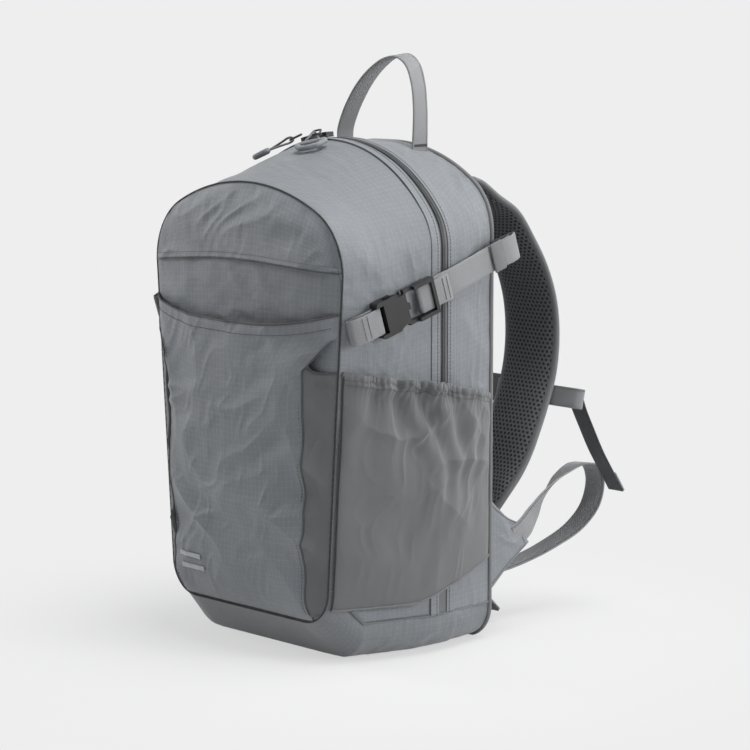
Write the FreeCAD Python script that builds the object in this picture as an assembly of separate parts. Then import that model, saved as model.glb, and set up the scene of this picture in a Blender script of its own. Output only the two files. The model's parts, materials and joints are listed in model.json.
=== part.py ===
"""Hiking daypack: a zipped bag of sewn panels, two padded shoulder straps and their hardware.

Frame: millimetres, +Z up. The origin is the middle of the flat base that the bag stands on.
The front panel faces -Y, the wearer's back is at +Y, and +X is the right side seen from the front.
Every panel, strap and fitting is its own solid, and what is on the left is a mirror of the right.
"""

import math
import os

import FreeCAD
import Part
from FreeCAD import Vector

# Overall sizes of the bag
HEIGHT = 470.0  # base to the top of the zipper arch
WIDTH = 274.0  # across the zipper arch, the widest place
BACK_Y = 90.0  # outside of the rear seam
FRONT_Y = -95.0  # front seam
WALL = 1.5  # fabric with its lining
GAP = 0.3  # clearance between soft pieces that touch
SOLE_CUT = 0.4  # the base is shaped this much too low, then cut flat at z = 0

# Each outline is an arch: half width, lower half width, base, top, crown radius, top and base corner radii
BACK_HALF = 130.0
BACK_TOP = HEIGHT - 6.0
FRONT_HALF = 130.0
FRONT_HALF_LOW = 110.0
FRONT_TOP = HEIGHT - 46.0
FRONT_BASE = 38.0
CROWN_R = 160.0
OUTER_CROWN_R = 190.0
TOP_CORNER_R = 55.0
BASE_CORNER_R = 32.0
BASE_RISE_Y = -60.0  # where the base starts to rise to the front seam
RISE_SHARE = (8.0 - BASE_RISE_Y) / (8.0 - FRONT_Y)  # how far the gusset has narrowed there
RISE_TOP = HEIGHT + RISE_SHARE * (FRONT_TOP - HEIGHT) * 0.8
RISE_CROWN = 12.0  # added to the crown radius there
BOOT_Z = 60.0  # top of the base panel on the sides

# Zipper
TAPE_Y = (8.0, 36.0)
COIL_WIDTH = 4.0
COIL_PROUD = 1.4
ZIP_END_Z = 262.0
SLIDER = (14.0, 9.0, 5.0)  # along, across and above the coil
SLIDER_ANGLES = {"left": -16.0, "right": -8.0}  # degrees from the top of the arch

# Webbing
STRAP_W = 25.0
STERNUM_W = 20.0
STRAP_T = 1.6

# Buckle, in its own frame: length, width and thickness
BUCKLE_W = 34.0
FEMALE_L = 34.0
MALE_L = 34.0
PLATE_T = 2.0
CAVITY_T = 6.0
PRONG_L = 20.0
PRONG_T = 5.0
BAR_T = 3.0

# Shoulder straps
PAD_W = 64.0
PAD_T = 12.0
PAD_X = 70.0
PAD_TOP_Z = 424.0

# Pockets
POCKET_TOP_Z = 252.0
POCKET_BULGE = 20.0
STASH_TOP_Z = 300.0
STASH_BULGE = 26.0
PANEL_BULGE = 10.0

# Haul loop
HAUL_HALF = 52.0
HAUL_RISE = 76.0
HAUL_W = 20.0
HAUL_Y = 74.0


def arc3(a, b, c):
    """Edge of the circle through three points."""
    return Part.Arc(a, b, c).toShape()


def arch(y, half, half_low, base, top, crown, top_r, base_r):
    """Closed arch outline in the plane at y: flat base, rounded base corners, sides, corners and a crown."""
    centre_z = top - crown
    corner_z = centre_z + math.sqrt((crown - top_r) ** 2 - (half - top_r) ** 2)
    corner = Vector(half - top_r, y, corner_z)
    out = (corner - Vector(0, y, centre_z)).normalize()
    crown_end = Vector(0, y, centre_z) + out * crown
    side_top = Vector(half, y, corner_z)
    mid = corner + (out + Vector(1, 0, 0)).normalize() * top_r
    side_low = Vector(half_low, y, base + base_r)
    low = Vector(half_low - base_r, y, base)
    low_mid = Vector(half_low - base_r, y, base + base_r) + Vector(1, 0, -1).normalize() * base_r

    def flip(p):
        return Vector(-p.x, p.y, p.z)

    edges = [
        Part.makeLine(flip(low), low),
        arc3(low, low_mid, side_low),
        Part.makeLine(side_low, side_top),
        arc3(side_top, mid, crown_end),
        arc3(crown_end, Vector(0, y, top), flip(crown_end)),
        arc3(flip(crown_end), flip(mid), flip(side_top)),
        Part.makeLine(flip(side_top), flip(side_low)),
        arc3(flip(side_low), flip(low_mid), flip(low)),
    ]
    return Part.Wire(edges)


def back_arch(y, inset=0.0):
    return arch(y, BACK_HALF - inset, BACK_HALF - inset, inset - SOLE_CUT, BACK_TOP - inset,
                OUTER_CROWN_R - inset, TOP_CORNER_R - inset, BASE_CORNER_R - inset)


def zip_arch(y, inset=0.0):
    half = WIDTH / 2 - inset
    return arch(y, half, half, inset - SOLE_CUT, HEIGHT - inset, CROWN_R - inset, TOP_CORNER_R - inset, BASE_CORNER_R - inset)


def rise_arch(y, inset=0.0):
    """Between the zipper and the front seam, where the base still lies flat."""
    half = WIDTH / 2 + RISE_SHARE * (FRONT_HALF - WIDTH / 2) - inset
    low = WIDTH / 2 + RISE_SHARE * (FRONT_HALF_LOW - WIDTH / 2) - inset
    return arch(y, half, low, inset - SOLE_CUT, RISE_TOP - inset, CROWN_R + RISE_CROWN - inset, TOP_CORNER_R + 3.0 - inset, BASE_CORNER_R - inset)


def front_arch(y, inset=0.0):
    return arch(y, FRONT_HALF - inset, FRONT_HALF_LOW - inset, FRONT_BASE + inset, FRONT_TOP - inset,
                OUTER_CROWN_R - inset, TOP_CORNER_R + 10.0 - inset, BASE_CORNER_R - inset)


def loft(wires):
    return Part.makeLoft(wires, True, True)


def band(stations):
    """Shell between consecutive arches. stations holds (arch function, y)."""
    outer = loft([make(y) for make, y in stations])
    inner = loft([make(y, WALL) for make, y in stations])
    return outer.cut(inner)


def box(x, y, z):
    """Box from three (low, high) pairs."""
    return Part.makeBox(x[1] - x[0], y[1] - y[0], z[1] - z[0], Vector(x[0], y[0], z[0]))


FAR = 600.0
EVERYWHERE = (-FAR, FAR)


def above(z):
    return box(EVERYWHERE, EVERYWHERE, (z, FAR))


def below(z):
    return box(EVERYWHERE, EVERYWHERE, (-FAR, z))


def strip(points, thickness):
    """Face of a band of even thickness along a polyline in the local XZ plane. Corners are mitred."""
    left, right = [], []
    for i, p in enumerate(points):
        before = (p - points[i - 1]).normalize() if i else None
        after = (points[i + 1] - p).normalize() if i < len(points) - 1 else None
        along = ((before or after) + (after or before)).normalize()
        side = Vector(-along.z, 0, along.x)
        reach = thickness / 2 / abs(side.dot(Vector(-(after or before).z, 0, (after or before).x)))
        left.append(p + side * reach)
        right.append(p - side * reach)
    return Part.Face(Part.makePolygon(left + right[::-1] + [left[0]]))


def ribbon(points, thickness, width):
    """Flat webbing that follows (x, z) points and is centred on the local plane y = 0."""
    face = strip([Vector(x, 0, z) for x, z in points], thickness)
    face.translate(Vector(0, -width / 2, 0))
    return face.extrude(Vector(0, width, 0))


def turn(centre, radius, start, end, steps):
    """Points (x, z) on an arc, in degrees, for a ribbon's bend."""
    return [
        (centre[0] + radius * math.cos(math.radians(start + (end - start) * i / steps)),
         centre[1] + radius * math.sin(math.radians(start + (end - start) * i / steps)))
        for i in range(steps + 1)
    ]


def placed(shape, origin, along, out):
    """The shape's local X, Y and Z set along, across and out of a surface at an origin."""
    u = Vector(*along).normalize()
    w = Vector(*out)
    w = (w - u * w.dot(u)).normalize()
    v = w.cross(u)
    matrix = FreeCAD.Matrix(u.x, v.x, w.x, origin[0], u.y, v.y, w.y, origin[1], u.z, v.z, w.z, origin[2], 0, 0, 0, 1)
    return shape.transformed(matrix, True)


def mirrored(shape):
    return shape.mirror(Vector(0, 0, 0), Vector(1, 0, 0))


# ---- bag panels ----


def bag_panels():
    """The sewn shell of the bag: gussets, zipper tape, base, back and front panels."""
    rear = band([(back_arch, BACK_Y), (zip_arch, TAPE_Y[1])])
    tape = band([(zip_arch, TAPE_Y[1]), (zip_arch, TAPE_Y[0])])
    front = band([(zip_arch, TAPE_Y[0]), (rise_arch, BASE_RISE_Y)])
    nose = band([(rise_arch, BASE_RISE_Y), (front_arch, FRONT_Y)])
    front = front.fuse(nose).removeSplitter()
    whole = rear.fuse(tape).fuse(front)
    coil_out = WALL + COIL_PROUD
    middle = sum(TAPE_Y) / 2
    coil = loft([zip_arch(middle - COIL_WIDTH / 2, -COIL_PROUD), zip_arch(middle + COIL_WIDTH / 2, -COIL_PROUD)])
    coil = coil.cut(loft([zip_arch(middle - coil_out, 0), zip_arch(middle + coil_out, 0)]))
    return {
        "rear_gusset": rear.common(above(BOOT_Z)),
        "zipper_tape": tape.common(above(BOOT_Z)),
        "front_gusset": front.common(above(BOOT_Z)),
        "base_panel": whole.removeSplitter().common(box(EVERYWHERE, EVERYWHERE, (0.0, BOOT_Z))),
        "zipper_coil": coil.common(above(ZIP_END_Z)),
    }


def bag_solid(grow):
    """The whole bag as one solid, grown by a clearance, to cut what lies on it."""
    stations = [(back_arch, BACK_Y + 4.0), (zip_arch, TAPE_Y[1]), (zip_arch, TAPE_Y[0]), (rise_arch, BASE_RISE_Y),
                (front_arch, FRONT_Y)]
    pairs = zip(stations, stations[1:])
    lofts = [loft([make_a(a, -grow), make_b(b, -grow)]) for (make_a, a), (make_b, b) in pairs]
    return lofts[0].multiFuse(lofts[1:])


def back_pieces():
    """Back panel: lining inside, foam sheet, mesh face and its binding."""
    inside = BACK_Y - WALL - GAP
    foam_t = 8.0
    lining = loft([back_arch(inside - foam_t - GAP - WALL, WALL + GAP + 1.0),
                   back_arch(inside - foam_t - GAP, WALL + GAP + 1.0)])
    foam = loft([back_arch(inside - foam_t, WALL + GAP + 1.0), back_arch(inside, WALL + GAP + 1.0)])
    cover = loft([back_arch(BACK_Y + GAP - 1.5, WALL + GAP), back_arch(BACK_Y, WALL + GAP)])
    ring = loft([back_arch(BACK_Y, -2.0), back_arch(BACK_Y + 3.0, -2.0)])
    ring = ring.cut(loft([back_arch(BACK_Y - 1.0, 5.0), back_arch(BACK_Y + 4.0, 5.0)]))
    ring = ring.common(above(0.0))
    pads = []
    for side in (1, -1):
        pad = box((16.0 if side > 0 else -80.0, 80.0 if side > 0 else -16.0),
                  (BACK_Y + GAP, BACK_Y + 11.0), (70.0, 340.0))
        pads.append(pad.makeFillet(8.0, [e for e in pad.Edges if abs(e.CenterOfMass.y - BACK_Y - 5.65) < 0.1]))
    lumbar = box((-80.0, 80.0), (BACK_Y + GAP, BACK_Y + 9.0), (32.0, 60.0))
    return {
        "back_lining": lining,
        "back_foam": foam,
        "back_mesh_cover": cover,
        "rear_seam_binding": ring,
        "back_pads": Part.makeCompound(pads + [lumbar]),
    }


def pillow(inset, bulge, rim):
    """Solid that bulges forward from the front seam's arch."""
    return loft([front_arch(FRONT_Y, inset), front_arch(FRONT_Y - bulge * 0.75, inset + rim * 0.35),
                 front_arch(FRONT_Y - bulge, inset + rim)])


def front_pieces():
    """Front lining, front panel with its cross seam, stash pocket with stretch sides, and the piped seam."""
    lining = loft([front_arch(FRONT_Y + 0.0, WALL + GAP), front_arch(FRONT_Y + WALL, WALL + GAP)])
    panel = pillow(GAP, PANEL_BULGE, 26.0).cut(pillow(GAP + WALL, PANEL_BULGE - WALL, 26.0))
    panel = panel.cut(box(EVERYWHERE, (FRONT_Y, FAR), EVERYWHERE))
    hem_z = STASH_TOP_Z + 62.0
    upper = panel.common(above(hem_z))
    lower = panel.common(below(hem_z))
    stash = pillow(-1.0, STASH_BULGE, 22.0).cut(pillow(-1.0 + WALL, STASH_BULGE - WALL, 22.0))
    stash = stash.cut(pillow(0.0, PANEL_BULGE + GAP, 26.0))
    stash = stash.common(below(STASH_TOP_Z)).cut(box(EVERYWHERE, (FRONT_Y - 0.2, FAR), EVERYWHERE))
    side = FRONT_HALF - 44.0
    middle = stash.common(box((-side, side), EVERYWHERE, EVERYWHERE))
    low_sides = stash.common(below(POCKET_TOP_Z + 18.0))
    right = low_sides.common(box((side, FAR), EVERYWHERE, EVERYWHERE))
    left = low_sides.common(box((-FAR, -side), EVERYWHERE, EVERYWHERE))
    return {
        "front_lining": lining,
        "front_top_panel": upper,
        "front_middle_panel": lower,
        "stash_pocket": biggest(middle),
        "stash_stretch_sides": Part.makeCompound([biggest(right), biggest(left)]),
    }


def biggest(shape):
    return max(shape.Solids, key=lambda s: s.Volume)


def side_pocket():
    """Stretch pocket on the right side: a curved wall sewn at its ends, with a floor, open at the top."""
    front = Vector(FRONT_HALF_LOW + 16.0, FRONT_Y + 12.0, 0)
    back = Vector(BACK_HALF + 0.5, BACK_Y - 4.0, 0)

    def crescent(z, bulge, front_x, thick):
        a = Vector(front_x, front.y, z)
        c = Vector(back.x, back.y, z)
        b = Vector(WIDTH / 2 + bulge, (a.y + c.y) / 2, z)
        inner_a, inner_c = a - Vector(0, -thick, 0), c - Vector(0, thick, 0)
        inner_b = b - Vector(thick, 0, 0)
        return Part.Wire([arc3(a, b, c), Part.makeLine(c, inner_c), arc3(inner_c, inner_b, inner_a),
                          Part.makeLine(inner_a, a)])

    low_z = BOOT_Z + 2.0
    wall = loft([crescent(low_z, 10.0, FRONT_HALF_LOW + 22.0, WALL * 2),
                 crescent(POCKET_TOP_Z, POCKET_BULGE, FRONT_HALF + 3.0, WALL * 2)])
    fill = loft([
        Part.Wire([arc3(Vector(FRONT_HALF_LOW + 22.0, front.y, low_z), Vector(WIDTH / 2 + 10.0, 1.5, low_z),
                        Vector(back.x, back.y, low_z)),
                   Part.makeLine(Vector(back.x, back.y, low_z), Vector(FRONT_HALF_LOW + 22.0, front.y, low_z))]),
        Part.Wire([arc3(Vector(FRONT_HALF_LOW + 22.0, front.y, low_z + 2), Vector(WIDTH / 2 + 10.0, 1.5, low_z + 2),
                        Vector(back.x, back.y, low_z + 2)),
                   Part.makeLine(Vector(back.x, back.y, low_z + 2), Vector(FRONT_HALF_LOW + 22.0, front.y, low_z + 2))]),
    ])
    pocket = wall.fuse(fill)
    return biggest(pocket.cut(bag_solid(GAP)))


# ---- buckle, in its own frame: X along the webbing, Y across, Z out ----


def buckle(web):
    """A side-release buckle for webbing of a width: female, male frame, and two prongs on the male."""
    k = web / STRAP_W
    half = BUCKLE_W / 2 * k
    long = FEMALE_L * k
    outer_t = CAVITY_T / 2 + PLATE_T
    female = box((-long, 0.0), (-half, half), (-outer_t, outer_t))
    female = female.cut(box((-PRONG_L * k - 3.0, 1.0), (-half - 1, half + 1), (-CAVITY_T / 2, CAVITY_T / 2)))
    slot = box((-long + 3.2, -long + 8.0), (-web / 2 - 0.5, web / 2 + 0.5), (-FAR, FAR))
    female = female.cut(slot)
    for sign in (1, -1):
        female = female.cut(box((-long - 1, -long + 8.0), (-web / 2 - 0.5, web / 2 + 0.5),
                                (BAR_T / 2 + 0.3, FAR) if sign > 0 else (-FAR, -BAR_T / 2 - 0.3)))
        waist = Part.makeCylinder(9.0 * k, FAR, Vector(-5.0 * k, sign * (half + 5.5 * k), -FAR / 2))
        female = female.cut(waist)
    corners = [e for e in female.Edges if abs(e.CenterOfMass.x + long) < 0.01 and abs(e.CenterOfMass.z) < 0.01
               and abs(abs(e.CenterOfMass.y) - half) < 0.01]
    if corners:
        female = female.makeFillet(3.0 * k, corners)

    start = 0.6
    end = start + MALE_L * k
    male = box((start, end), (-half, half), (-BAR_T / 2, BAR_T / 2 + 5.0))
    male = male.cut(box((start + 3.0, end - 3.5), (-half + 3.5, half - 3.5), (-FAR, FAR)))
    bar_x = start + 17.0 * k
    male = male.cut(box((start + 2.0, FAR), (-web / 2 - 0.4, web / 2 + 0.4), (-FAR, BAR_T / 2 + 1.9)))
    male = male.fuse(Part.makeCylinder(BAR_T / 2, 2 * half - 2.0, Vector(bar_x + 2.0, -half + 1.0, 0), Vector(0, 1, 0)))
    male = male.cut(box((-1, start + 10.0), (-half - 1, half + 1), (CAVITY_T / 2 - 0.6, FAR)))
    tongue = box((-PRONG_L * k + 1.0, start + 5.0), (-3.0 * k, 3.0 * k), (-2.0, 2.0))
    male = male.fuse(tongue)
    male = male.removeSplitter()
    prongs = []
    for sign in (1, -1):
        low, high = 8.5 * k, 13.0 * k
        prong = box((-PRONG_L * k, start - 0.3), (low, high), (-PRONG_T / 2, PRONG_T / 2))
        pad = Part.makeCylinder(7.0 * k, PRONG_T, Vector(-9.0 * k, high - 4.0 * k, -PRONG_T / 2))
        pad = pad.common(box((-FAR, start - 0.3), (low, FAR), EVERYWHERE))
        prong = prong.fuse(pad).removeSplitter()
        prongs.append(prong if sign > 0 else prong.mirror(Vector(0, 0, 0), Vector(0, 1, 0)))
    return {"female": female, "male": male, "prong_upper": prongs[0], "prong_lower": prongs[1],
            "bar_x": bar_x, "long": long}


def wrap(bar_x, tail_x, web):
    """Webbing folded round a bar of the male, both legs running back to tail_x."""
    r = BAR_T / 2 + GAP + STRAP_T / 2
    points = [(tail_x, r)] + turn((bar_x + 0.8, 0), r, 90, 270, 10) + [(tail_x, -r)]
    return ribbon(points, STRAP_T, web)


def stub(bar_x, tail_x, web):
    """Webbing folded round the end bar of the female, stitched together at tail_x."""
    r = BAR_T / 2 + 0.6 + STRAP_T / 2
    points = [(tail_x, r)] + turn((bar_x - 1.0, 0), r, 90, -90, 10) + [(tail_x, -r)]
    stitched = box((tail_x, tail_x + 8.0), (-web / 2, web / 2), (-r - STRAP_T / 2, r + STRAP_T / 2))
    return ribbon(points, STRAP_T, web).fuse(stitched).removeSplitter()


# Where the right compression buckle sits
SIDE_ORIGIN = (143.2, -32.0, 326.0)
SIDE_ALONG = (7.0, 117.0, 38.0)
SIDE_OUT = (1.0, 0.0, 0.0)


def compression_strap():
    """Right side strap: buckle, short front stub, fold round the male bar, long webbing and its keeper."""
    parts = buckle(STRAP_W)
    made = {
        "side_buckle_female": parts["female"],
        "side_buckle_male": parts["male"],
        "side_buckle_prong_upper": parts["prong_upper"],
        "side_buckle_prong_lower": parts["prong_lower"],
        "side_strap_stub": stub(-parts["long"] + 3.2, -parts["long"] - 31.0, STRAP_W),
        "side_strap_fold": wrap(parts["bar_x"] + 1.2, parts["bar_x"] + 32.0, STRAP_W),
        "side_strap_webbing": ribbon([(38.0, -5.0), (66.0, -4.4), (127.0, -13.0), (140.0, -10.0), (152.0, -12.0),
                                      (129.0, -17.4)], STRAP_T, STRAP_W),
    }
    return {name: placed(shape, SIDE_ORIGIN, SIDE_ALONG, SIDE_OUT) for name, shape in made.items()}


# ---- shoulder straps ----

# Inner face of the padded strap, seen from the side: (distance behind the rear seam, height)
PAD_PATH = [(13.0, PAD_TOP_Z), (58.0, 396.0), (98.0, 342.0), (114.0, 276.0), (98.0, 208.0), (70.0, 150.0),
            (42.0, 108.0)]


def smooth(points):
    curve = Part.BSplineCurve()
    curve.interpolate(points)
    return curve.toShape()


def offset_path(points, distance):
    """Each point of a (y, z) path moved sideways, away from the bag."""
    moved = []
    for i, p in enumerate(points):
        before, after = points[max(i - 1, 0)], points[min(i + 1, len(points) - 1)]
        dy, dz = after[0] - before[0], after[1] - before[1]
        size = math.hypot(dy, dz)
        moved.append((p[0] - dz / size * distance, p[1] + dy / size * distance))
    return moved


def side_band(path, start, end, x0, x1):
    """Band between two offsets of a path in the YZ plane, from x0 to x1."""
    inner = [Vector(x0, BACK_Y + y, z) for y, z in offset_path(path, start)]
    outer = [Vector(x0, BACK_Y + y, z) for y, z in offset_path(path, end)]
    wire = Part.Wire([smooth(inner), Part.makeLine(inner[-1], outer[-1]), smooth(outer[::-1]),
                      Part.makeLine(outer[0], inner[0])])
    return Part.Face(wire).extrude(Vector(x1 - x0, 0, 0))


def shoulder_strap():
    """Right shoulder strap: mesh lining, foam, cover and the webbing down its middle."""
    x0, x1 = PAD_X - PAD_W / 2, PAD_X + PAD_W / 2
    lining = side_band(PAD_PATH, 0.0, 2.5, x0, x1)
    foam = side_band(PAD_PATH, 2.5, PAD_T - 2.0, x0 + 2.0, x1 - 2.0)
    cover = side_band(PAD_PATH, PAD_T - 2.0, PAD_T, x0, x1)
    daisy = side_band(PAD_PATH, PAD_T, PAD_T + STRAP_T, PAD_X - 10.0, PAD_X + 10.0).common(below(PAD_TOP_Z - 24.0))
    return {"strap_mesh_lining": lining, "strap_foam": foam, "strap_cover": cover, "strap_daisy_webbing": daisy}


LOCK_AT = (PAD_X, BACK_Y + 31.0, 84.0)
LOCK_ALONG = (0.0, -28.0, -42.0)


def ladder_lock():
    """Right ladder lock below the padded strap: a frame with two cross bars."""
    frame = box((0.0, 30.0), (-17.0, 17.0), (-2.5, 2.5))
    for low, high in ((3.5, 9.0), (13.0, 17.5), (21.5, 26.5)):
        frame = frame.cut(box((low, high), (-13.5, 13.5), (-FAR, FAR)))
    frame = frame.makeFillet(1.2, [e for e in frame.Edges if abs(abs(e.CenterOfMass.y) - 17.0) < 0.01
                                   and abs(e.CenterOfMass.z) > 2.4])
    return placed(frame, LOCK_AT, LOCK_ALONG, (0.0, 1.0, 0.0))


def lock_holder():
    """Short webbing that joins the padded strap's end to the ladder lock's top bar."""
    r = 2.5 + GAP + STRAP_T / 2
    points = [(-15.0, r)] + turn((1.2, 0), r, 90, -90, 10) + [(-15.0, -r)]
    return placed(ribbon(points, STRAP_T, STRAP_W), LOCK_AT, LOCK_ALONG, (0.0, 1.0, 0.0))


def corner_tab():
    """Right triangular tab sewn into the rear seam, which takes the lower end of the webbing."""
    low = Vector(BACK_HALF + 2.0, BACK_Y + 3.5, 52.0)
    high = Vector(BACK_HALF + 2.0, BACK_Y + 3.5, 132.0)
    tip_high = Vector(BACK_HALF - 6.0, BACK_Y + 44.0, 104.0)
    tip_low = Vector(BACK_HALF - 6.0, BACK_Y + 62.0, 86.0)
    face = Part.Face(Part.makePolygon([low, high, tip_high + Vector(0, 0, 0), low]))
    second = Part.Face(Part.makePolygon([low, tip_high, tip_low, low]))
    thick = Vector(3.0, 0, 0)
    return face.extrude(thick).fuse(second.extrude(thick)).removeSplitter()


# Webbing from the tab out and back to the ladder lock: (distance behind the rear seam, height)
LOOP_PATH = [(58.0, 98.0), (84.0, 116.0), (112.0, 134.0), (140.0, 146.0), (166.0, 144.0), (184.0, 128.0),
             (186.0, 104.0), (170.0, 82.0), (140.0, 66.0), (104.0, 56.0), (66.0, 50.0), (36.0, 50.0)]
TAIL_PATH = [(30.0, 44.0), (40.0, 36.0), (54.0, 30.0), (64.0, 22.0), (72.0, 12.0)]


def loop_webbing():
    """Right webbing: the loop from the tab to the ladder lock, and the free tail below the lock."""
    loop = hanging_ribbon(LOOP_PATH, STRAP_W, PAD_X + 10.0)
    tail = hanging_ribbon(TAIL_PATH, STRAP_W, PAD_X + 10.0)
    return Part.makeCompound(loop.Solids + tail.Solids)


# ---- zipper sliders and pulls ----

PULL_TO = {"left": (-37.0, -50.0), "right": (34.0, -42.0)}  # where each grip lies from its slider
PULL_LIFT = 7.2
TAB_L = 13.0
CORD_D = 2.2
GRIP_AT = 36.0
CORD_POINTS = [(GRIP_AT, -9.0), (31.5, -9.0), (25.0, -5.4), (18.5, -3.4), (14.6, -2.3),
               (14.6, 2.3), (18.5, 3.4), (25.0, 5.4), (31.5, 9.0), (GRIP_AT, 9.0)]


def top_surface(x, y):
    """Height of the bag's top at a place on the front gusset."""
    share = (TAPE_Y[0] - y) / (TAPE_Y[0] - BASE_RISE_Y)
    top = HEIGHT + max(share, 0.0) * (RISE_TOP - HEIGHT)
    crown = CROWN_R + max(share, 0.0) * RISE_CROWN
    return top - crown + math.sqrt(crown ** 2 - x ** 2)


def pull_frame(side):
    """Origin, direction and outward normal of a zipper pull that lies on the front gusset."""
    angle = math.radians(SLIDER_ANGLES[side])
    x, y = CROWN_R * math.sin(angle), TAPE_Y[0] + 3.6
    dx, dy = PULL_TO[side]
    start = Vector(x, y, top_surface(x, y) + PULL_LIFT + 1.6)
    end = Vector(x + dx, y + dy, top_surface(x + dx, y + dy) + PULL_LIFT)
    mid_x, mid_y = x + dx / 2, y + dy / 2
    slope_x = (top_surface(mid_x + 1, mid_y) - top_surface(mid_x - 1, mid_y)) / 2
    slope_y = (top_surface(mid_x, mid_y + 1) - top_surface(mid_x, mid_y - 1)) / 2
    return start, end - start, Vector(-slope_x, -slope_y, 1.0)


def slider(side):
    """Slider body on the coil, with a lug at its front edge that holds the pull."""
    length, across, rise = SLIDER
    middle = sum(TAPE_Y) / 2
    low = HEIGHT + COIL_PROUD
    body = box((-length / 2, length / 2), (middle - across / 2, middle + across / 2), (low - 2.0, low + rise))
    lug = box((-3.0, 3.0), (TAPE_Y[0] + 6.0, middle), (low + 2.0, low + rise - 0.6))
    body = body.fuse(lug)
    clear = Part.makeCylinder(CROWN_R + COIL_PROUD + GAP, FAR, Vector(0, -FAR / 2, HEIGHT - CROWN_R), Vector(0, 1, 0))
    body = body.cut(clear).removeSplitter()
    body.rotate(Vector(0, 0, HEIGHT - CROWN_R), Vector(0, 1, 0), SLIDER_ANGLES[side])
    return body


def round_path(points):
    """Straight runs joined by tangent arcs, each as large as its two runs allow."""
    edges, radii = [], []
    last = points[0]
    for before, at, after in zip(points, points[1:], points[2:]):
        a, b = (before - at), (after - at)
        cut = 0.45 * min(a.Length, b.Length)
        turned = math.pi - a.getAngle(b)
        radii.append(cut / math.tan(turned / 2))
        start, end = at + a.normalize() * cut, at + b.normalize() * cut
        centre_dir = (a + b).normalize()
        centre = at + centre_dir * (radii[-1] / math.cos(turned / 2))
        edges += [Part.makeLine(last, start), arc3(start, centre - centre_dir * radii[-1], end)]
        last = end
    edges.append(Part.makeLine(last, points[-1]))
    return Part.Wire(edges), radii


def cord():
    """Pull cord in the pull's own frame: from one end of the grip round the tab and back."""
    path, radii = round_path([Vector(x, y, 0) for x, y in CORD_POINTS])
    circle = Part.Wire(Part.makeCircle(CORD_D / 2, Vector(*CORD_POINTS[0], 0), Vector(1, 0, 0)))
    tube = path.makePipeShell([circle], True, True)
    print("cord length", round(path.Length, 1), "smallest radius", round(min(radii), 2),
          "volume ratio", round(tube.Volume / (path.Length * math.pi * CORD_D ** 2 / 4), 3))
    return tube


def pull_tab():
    """Metal loop between the slider and the cord."""
    ring = box((0.8, TAB_L), (-4.5, 4.5), (-1.0, 1.0))
    ring = ring.cut(box((3.0, TAB_L - 2.2), (-2.6, 2.6), (-FAR, FAR)))
    return ring.makeFillet(1.5, [e for e in ring.Edges if abs(abs(e.CenterOfMass.y) - 4.5) < 0.01
                                 and abs(e.CenterOfMass.z) < 0.01])


def grip():
    """Moulded six-sided ring on the cord."""
    outline = [(GRIP_AT, -12.0), (GRIP_AT + 2.0, -16.5), (GRIP_AT + 12.0, -12.0), (GRIP_AT + 15.0, -6.0),
               (GRIP_AT + 15.0, 6.0), (GRIP_AT + 12.0, 12.0), (GRIP_AT + 2.0, 16.5), (GRIP_AT, 12.0)]
    window = [(GRIP_AT - 1.0, -6.0), (GRIP_AT + 4.0, -9.0), (GRIP_AT + 8.0, -6.5), (GRIP_AT + 8.0, 6.5),
              (GRIP_AT + 4.0, 9.0), (GRIP_AT - 1.0, 6.0)]

    def plate(points, low, high):
        corners = [Vector(x, y, low) for x, y in points]
        return Part.Face(Part.makePolygon(corners + corners[:1])).extrude(Vector(0, 0, high - low))

    return plate(outline, -2.8, 2.8).cut(plate(window, -FAR, FAR)).removeSplitter()


def zipper_pull(side):
    origin, along, out = pull_frame(side)
    made = {"zip_pull": Part.makeCompound([pull_tab(), grip()]), "zip_cord": cord()}
    return {name: placed(shape, origin, along, out) for name, shape in made.items()}


# ---- haul loop ----

HAUL_HINGE_Z = 475.0
HAUL_PATH = [(-52.0, 0.0), (-49.0, 22.0), (-36.0, 48.0), (-16.0, 66.0), (8.0, HAUL_RISE - 4.0), (28.0, 66.0),
             (44.0, 44.0), (52.0, 18.0), (52.0, 0.0)]


def haul_loop():
    """Carry handle of webbing: two sewn feet, and the loop that tips about them."""
    foot_r = HAUL_W / 2
    web_t = 2.4
    face = strip([Vector(x, 0, HAUL_HINGE_Z + z) for x, z in HAUL_PATH], web_t)
    face.translate(Vector(0, HAUL_Y - foot_r, 0))
    loop = face.extrude(Vector(0, HAUL_W, 0))
    feet = []
    for x in (HAUL_PATH[0][0], HAUL_PATH[-1][0]):
        axle = Part.makeCylinder(foot_r, web_t, Vector(x - web_t / 2, HAUL_Y, HAUL_HINGE_Z), Vector(1, 0, 0))
        loop = loop.fuse(axle)
        foot = box((x - web_t / 2, x + web_t / 2), (HAUL_Y - foot_r, HAUL_Y + foot_r),
                   (HAUL_HINGE_Z - foot_r - 20.0, HAUL_HINGE_Z - foot_r - GAP))
        feet.append(biggest(foot.cut(bag_solid(0.0))))
    return {"haul_loop": loop.removeSplitter(), "haul_loop_feet": Part.makeCompound(feet)}


# ---- sternum strap ----

STERNUM_Z = 222.0
STERNUM_OUT = (0.0, 0.973, -0.229)
STERNUM_LIFT = PAD_T + 9.9  # buckle's middle plane above the pad's inner face
STERNUM_AT = (-3.0, BACK_Y + 102.0 + 0.973 * STERNUM_LIFT, STERNUM_Z - 0.229 * STERNUM_LIFT)
STERNUM_TAIL = [(126.0, 208.0), (140.0, 188.0), (157.0, 162.0), (173.0, 139.0), (188.0, 118.0)]


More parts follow.
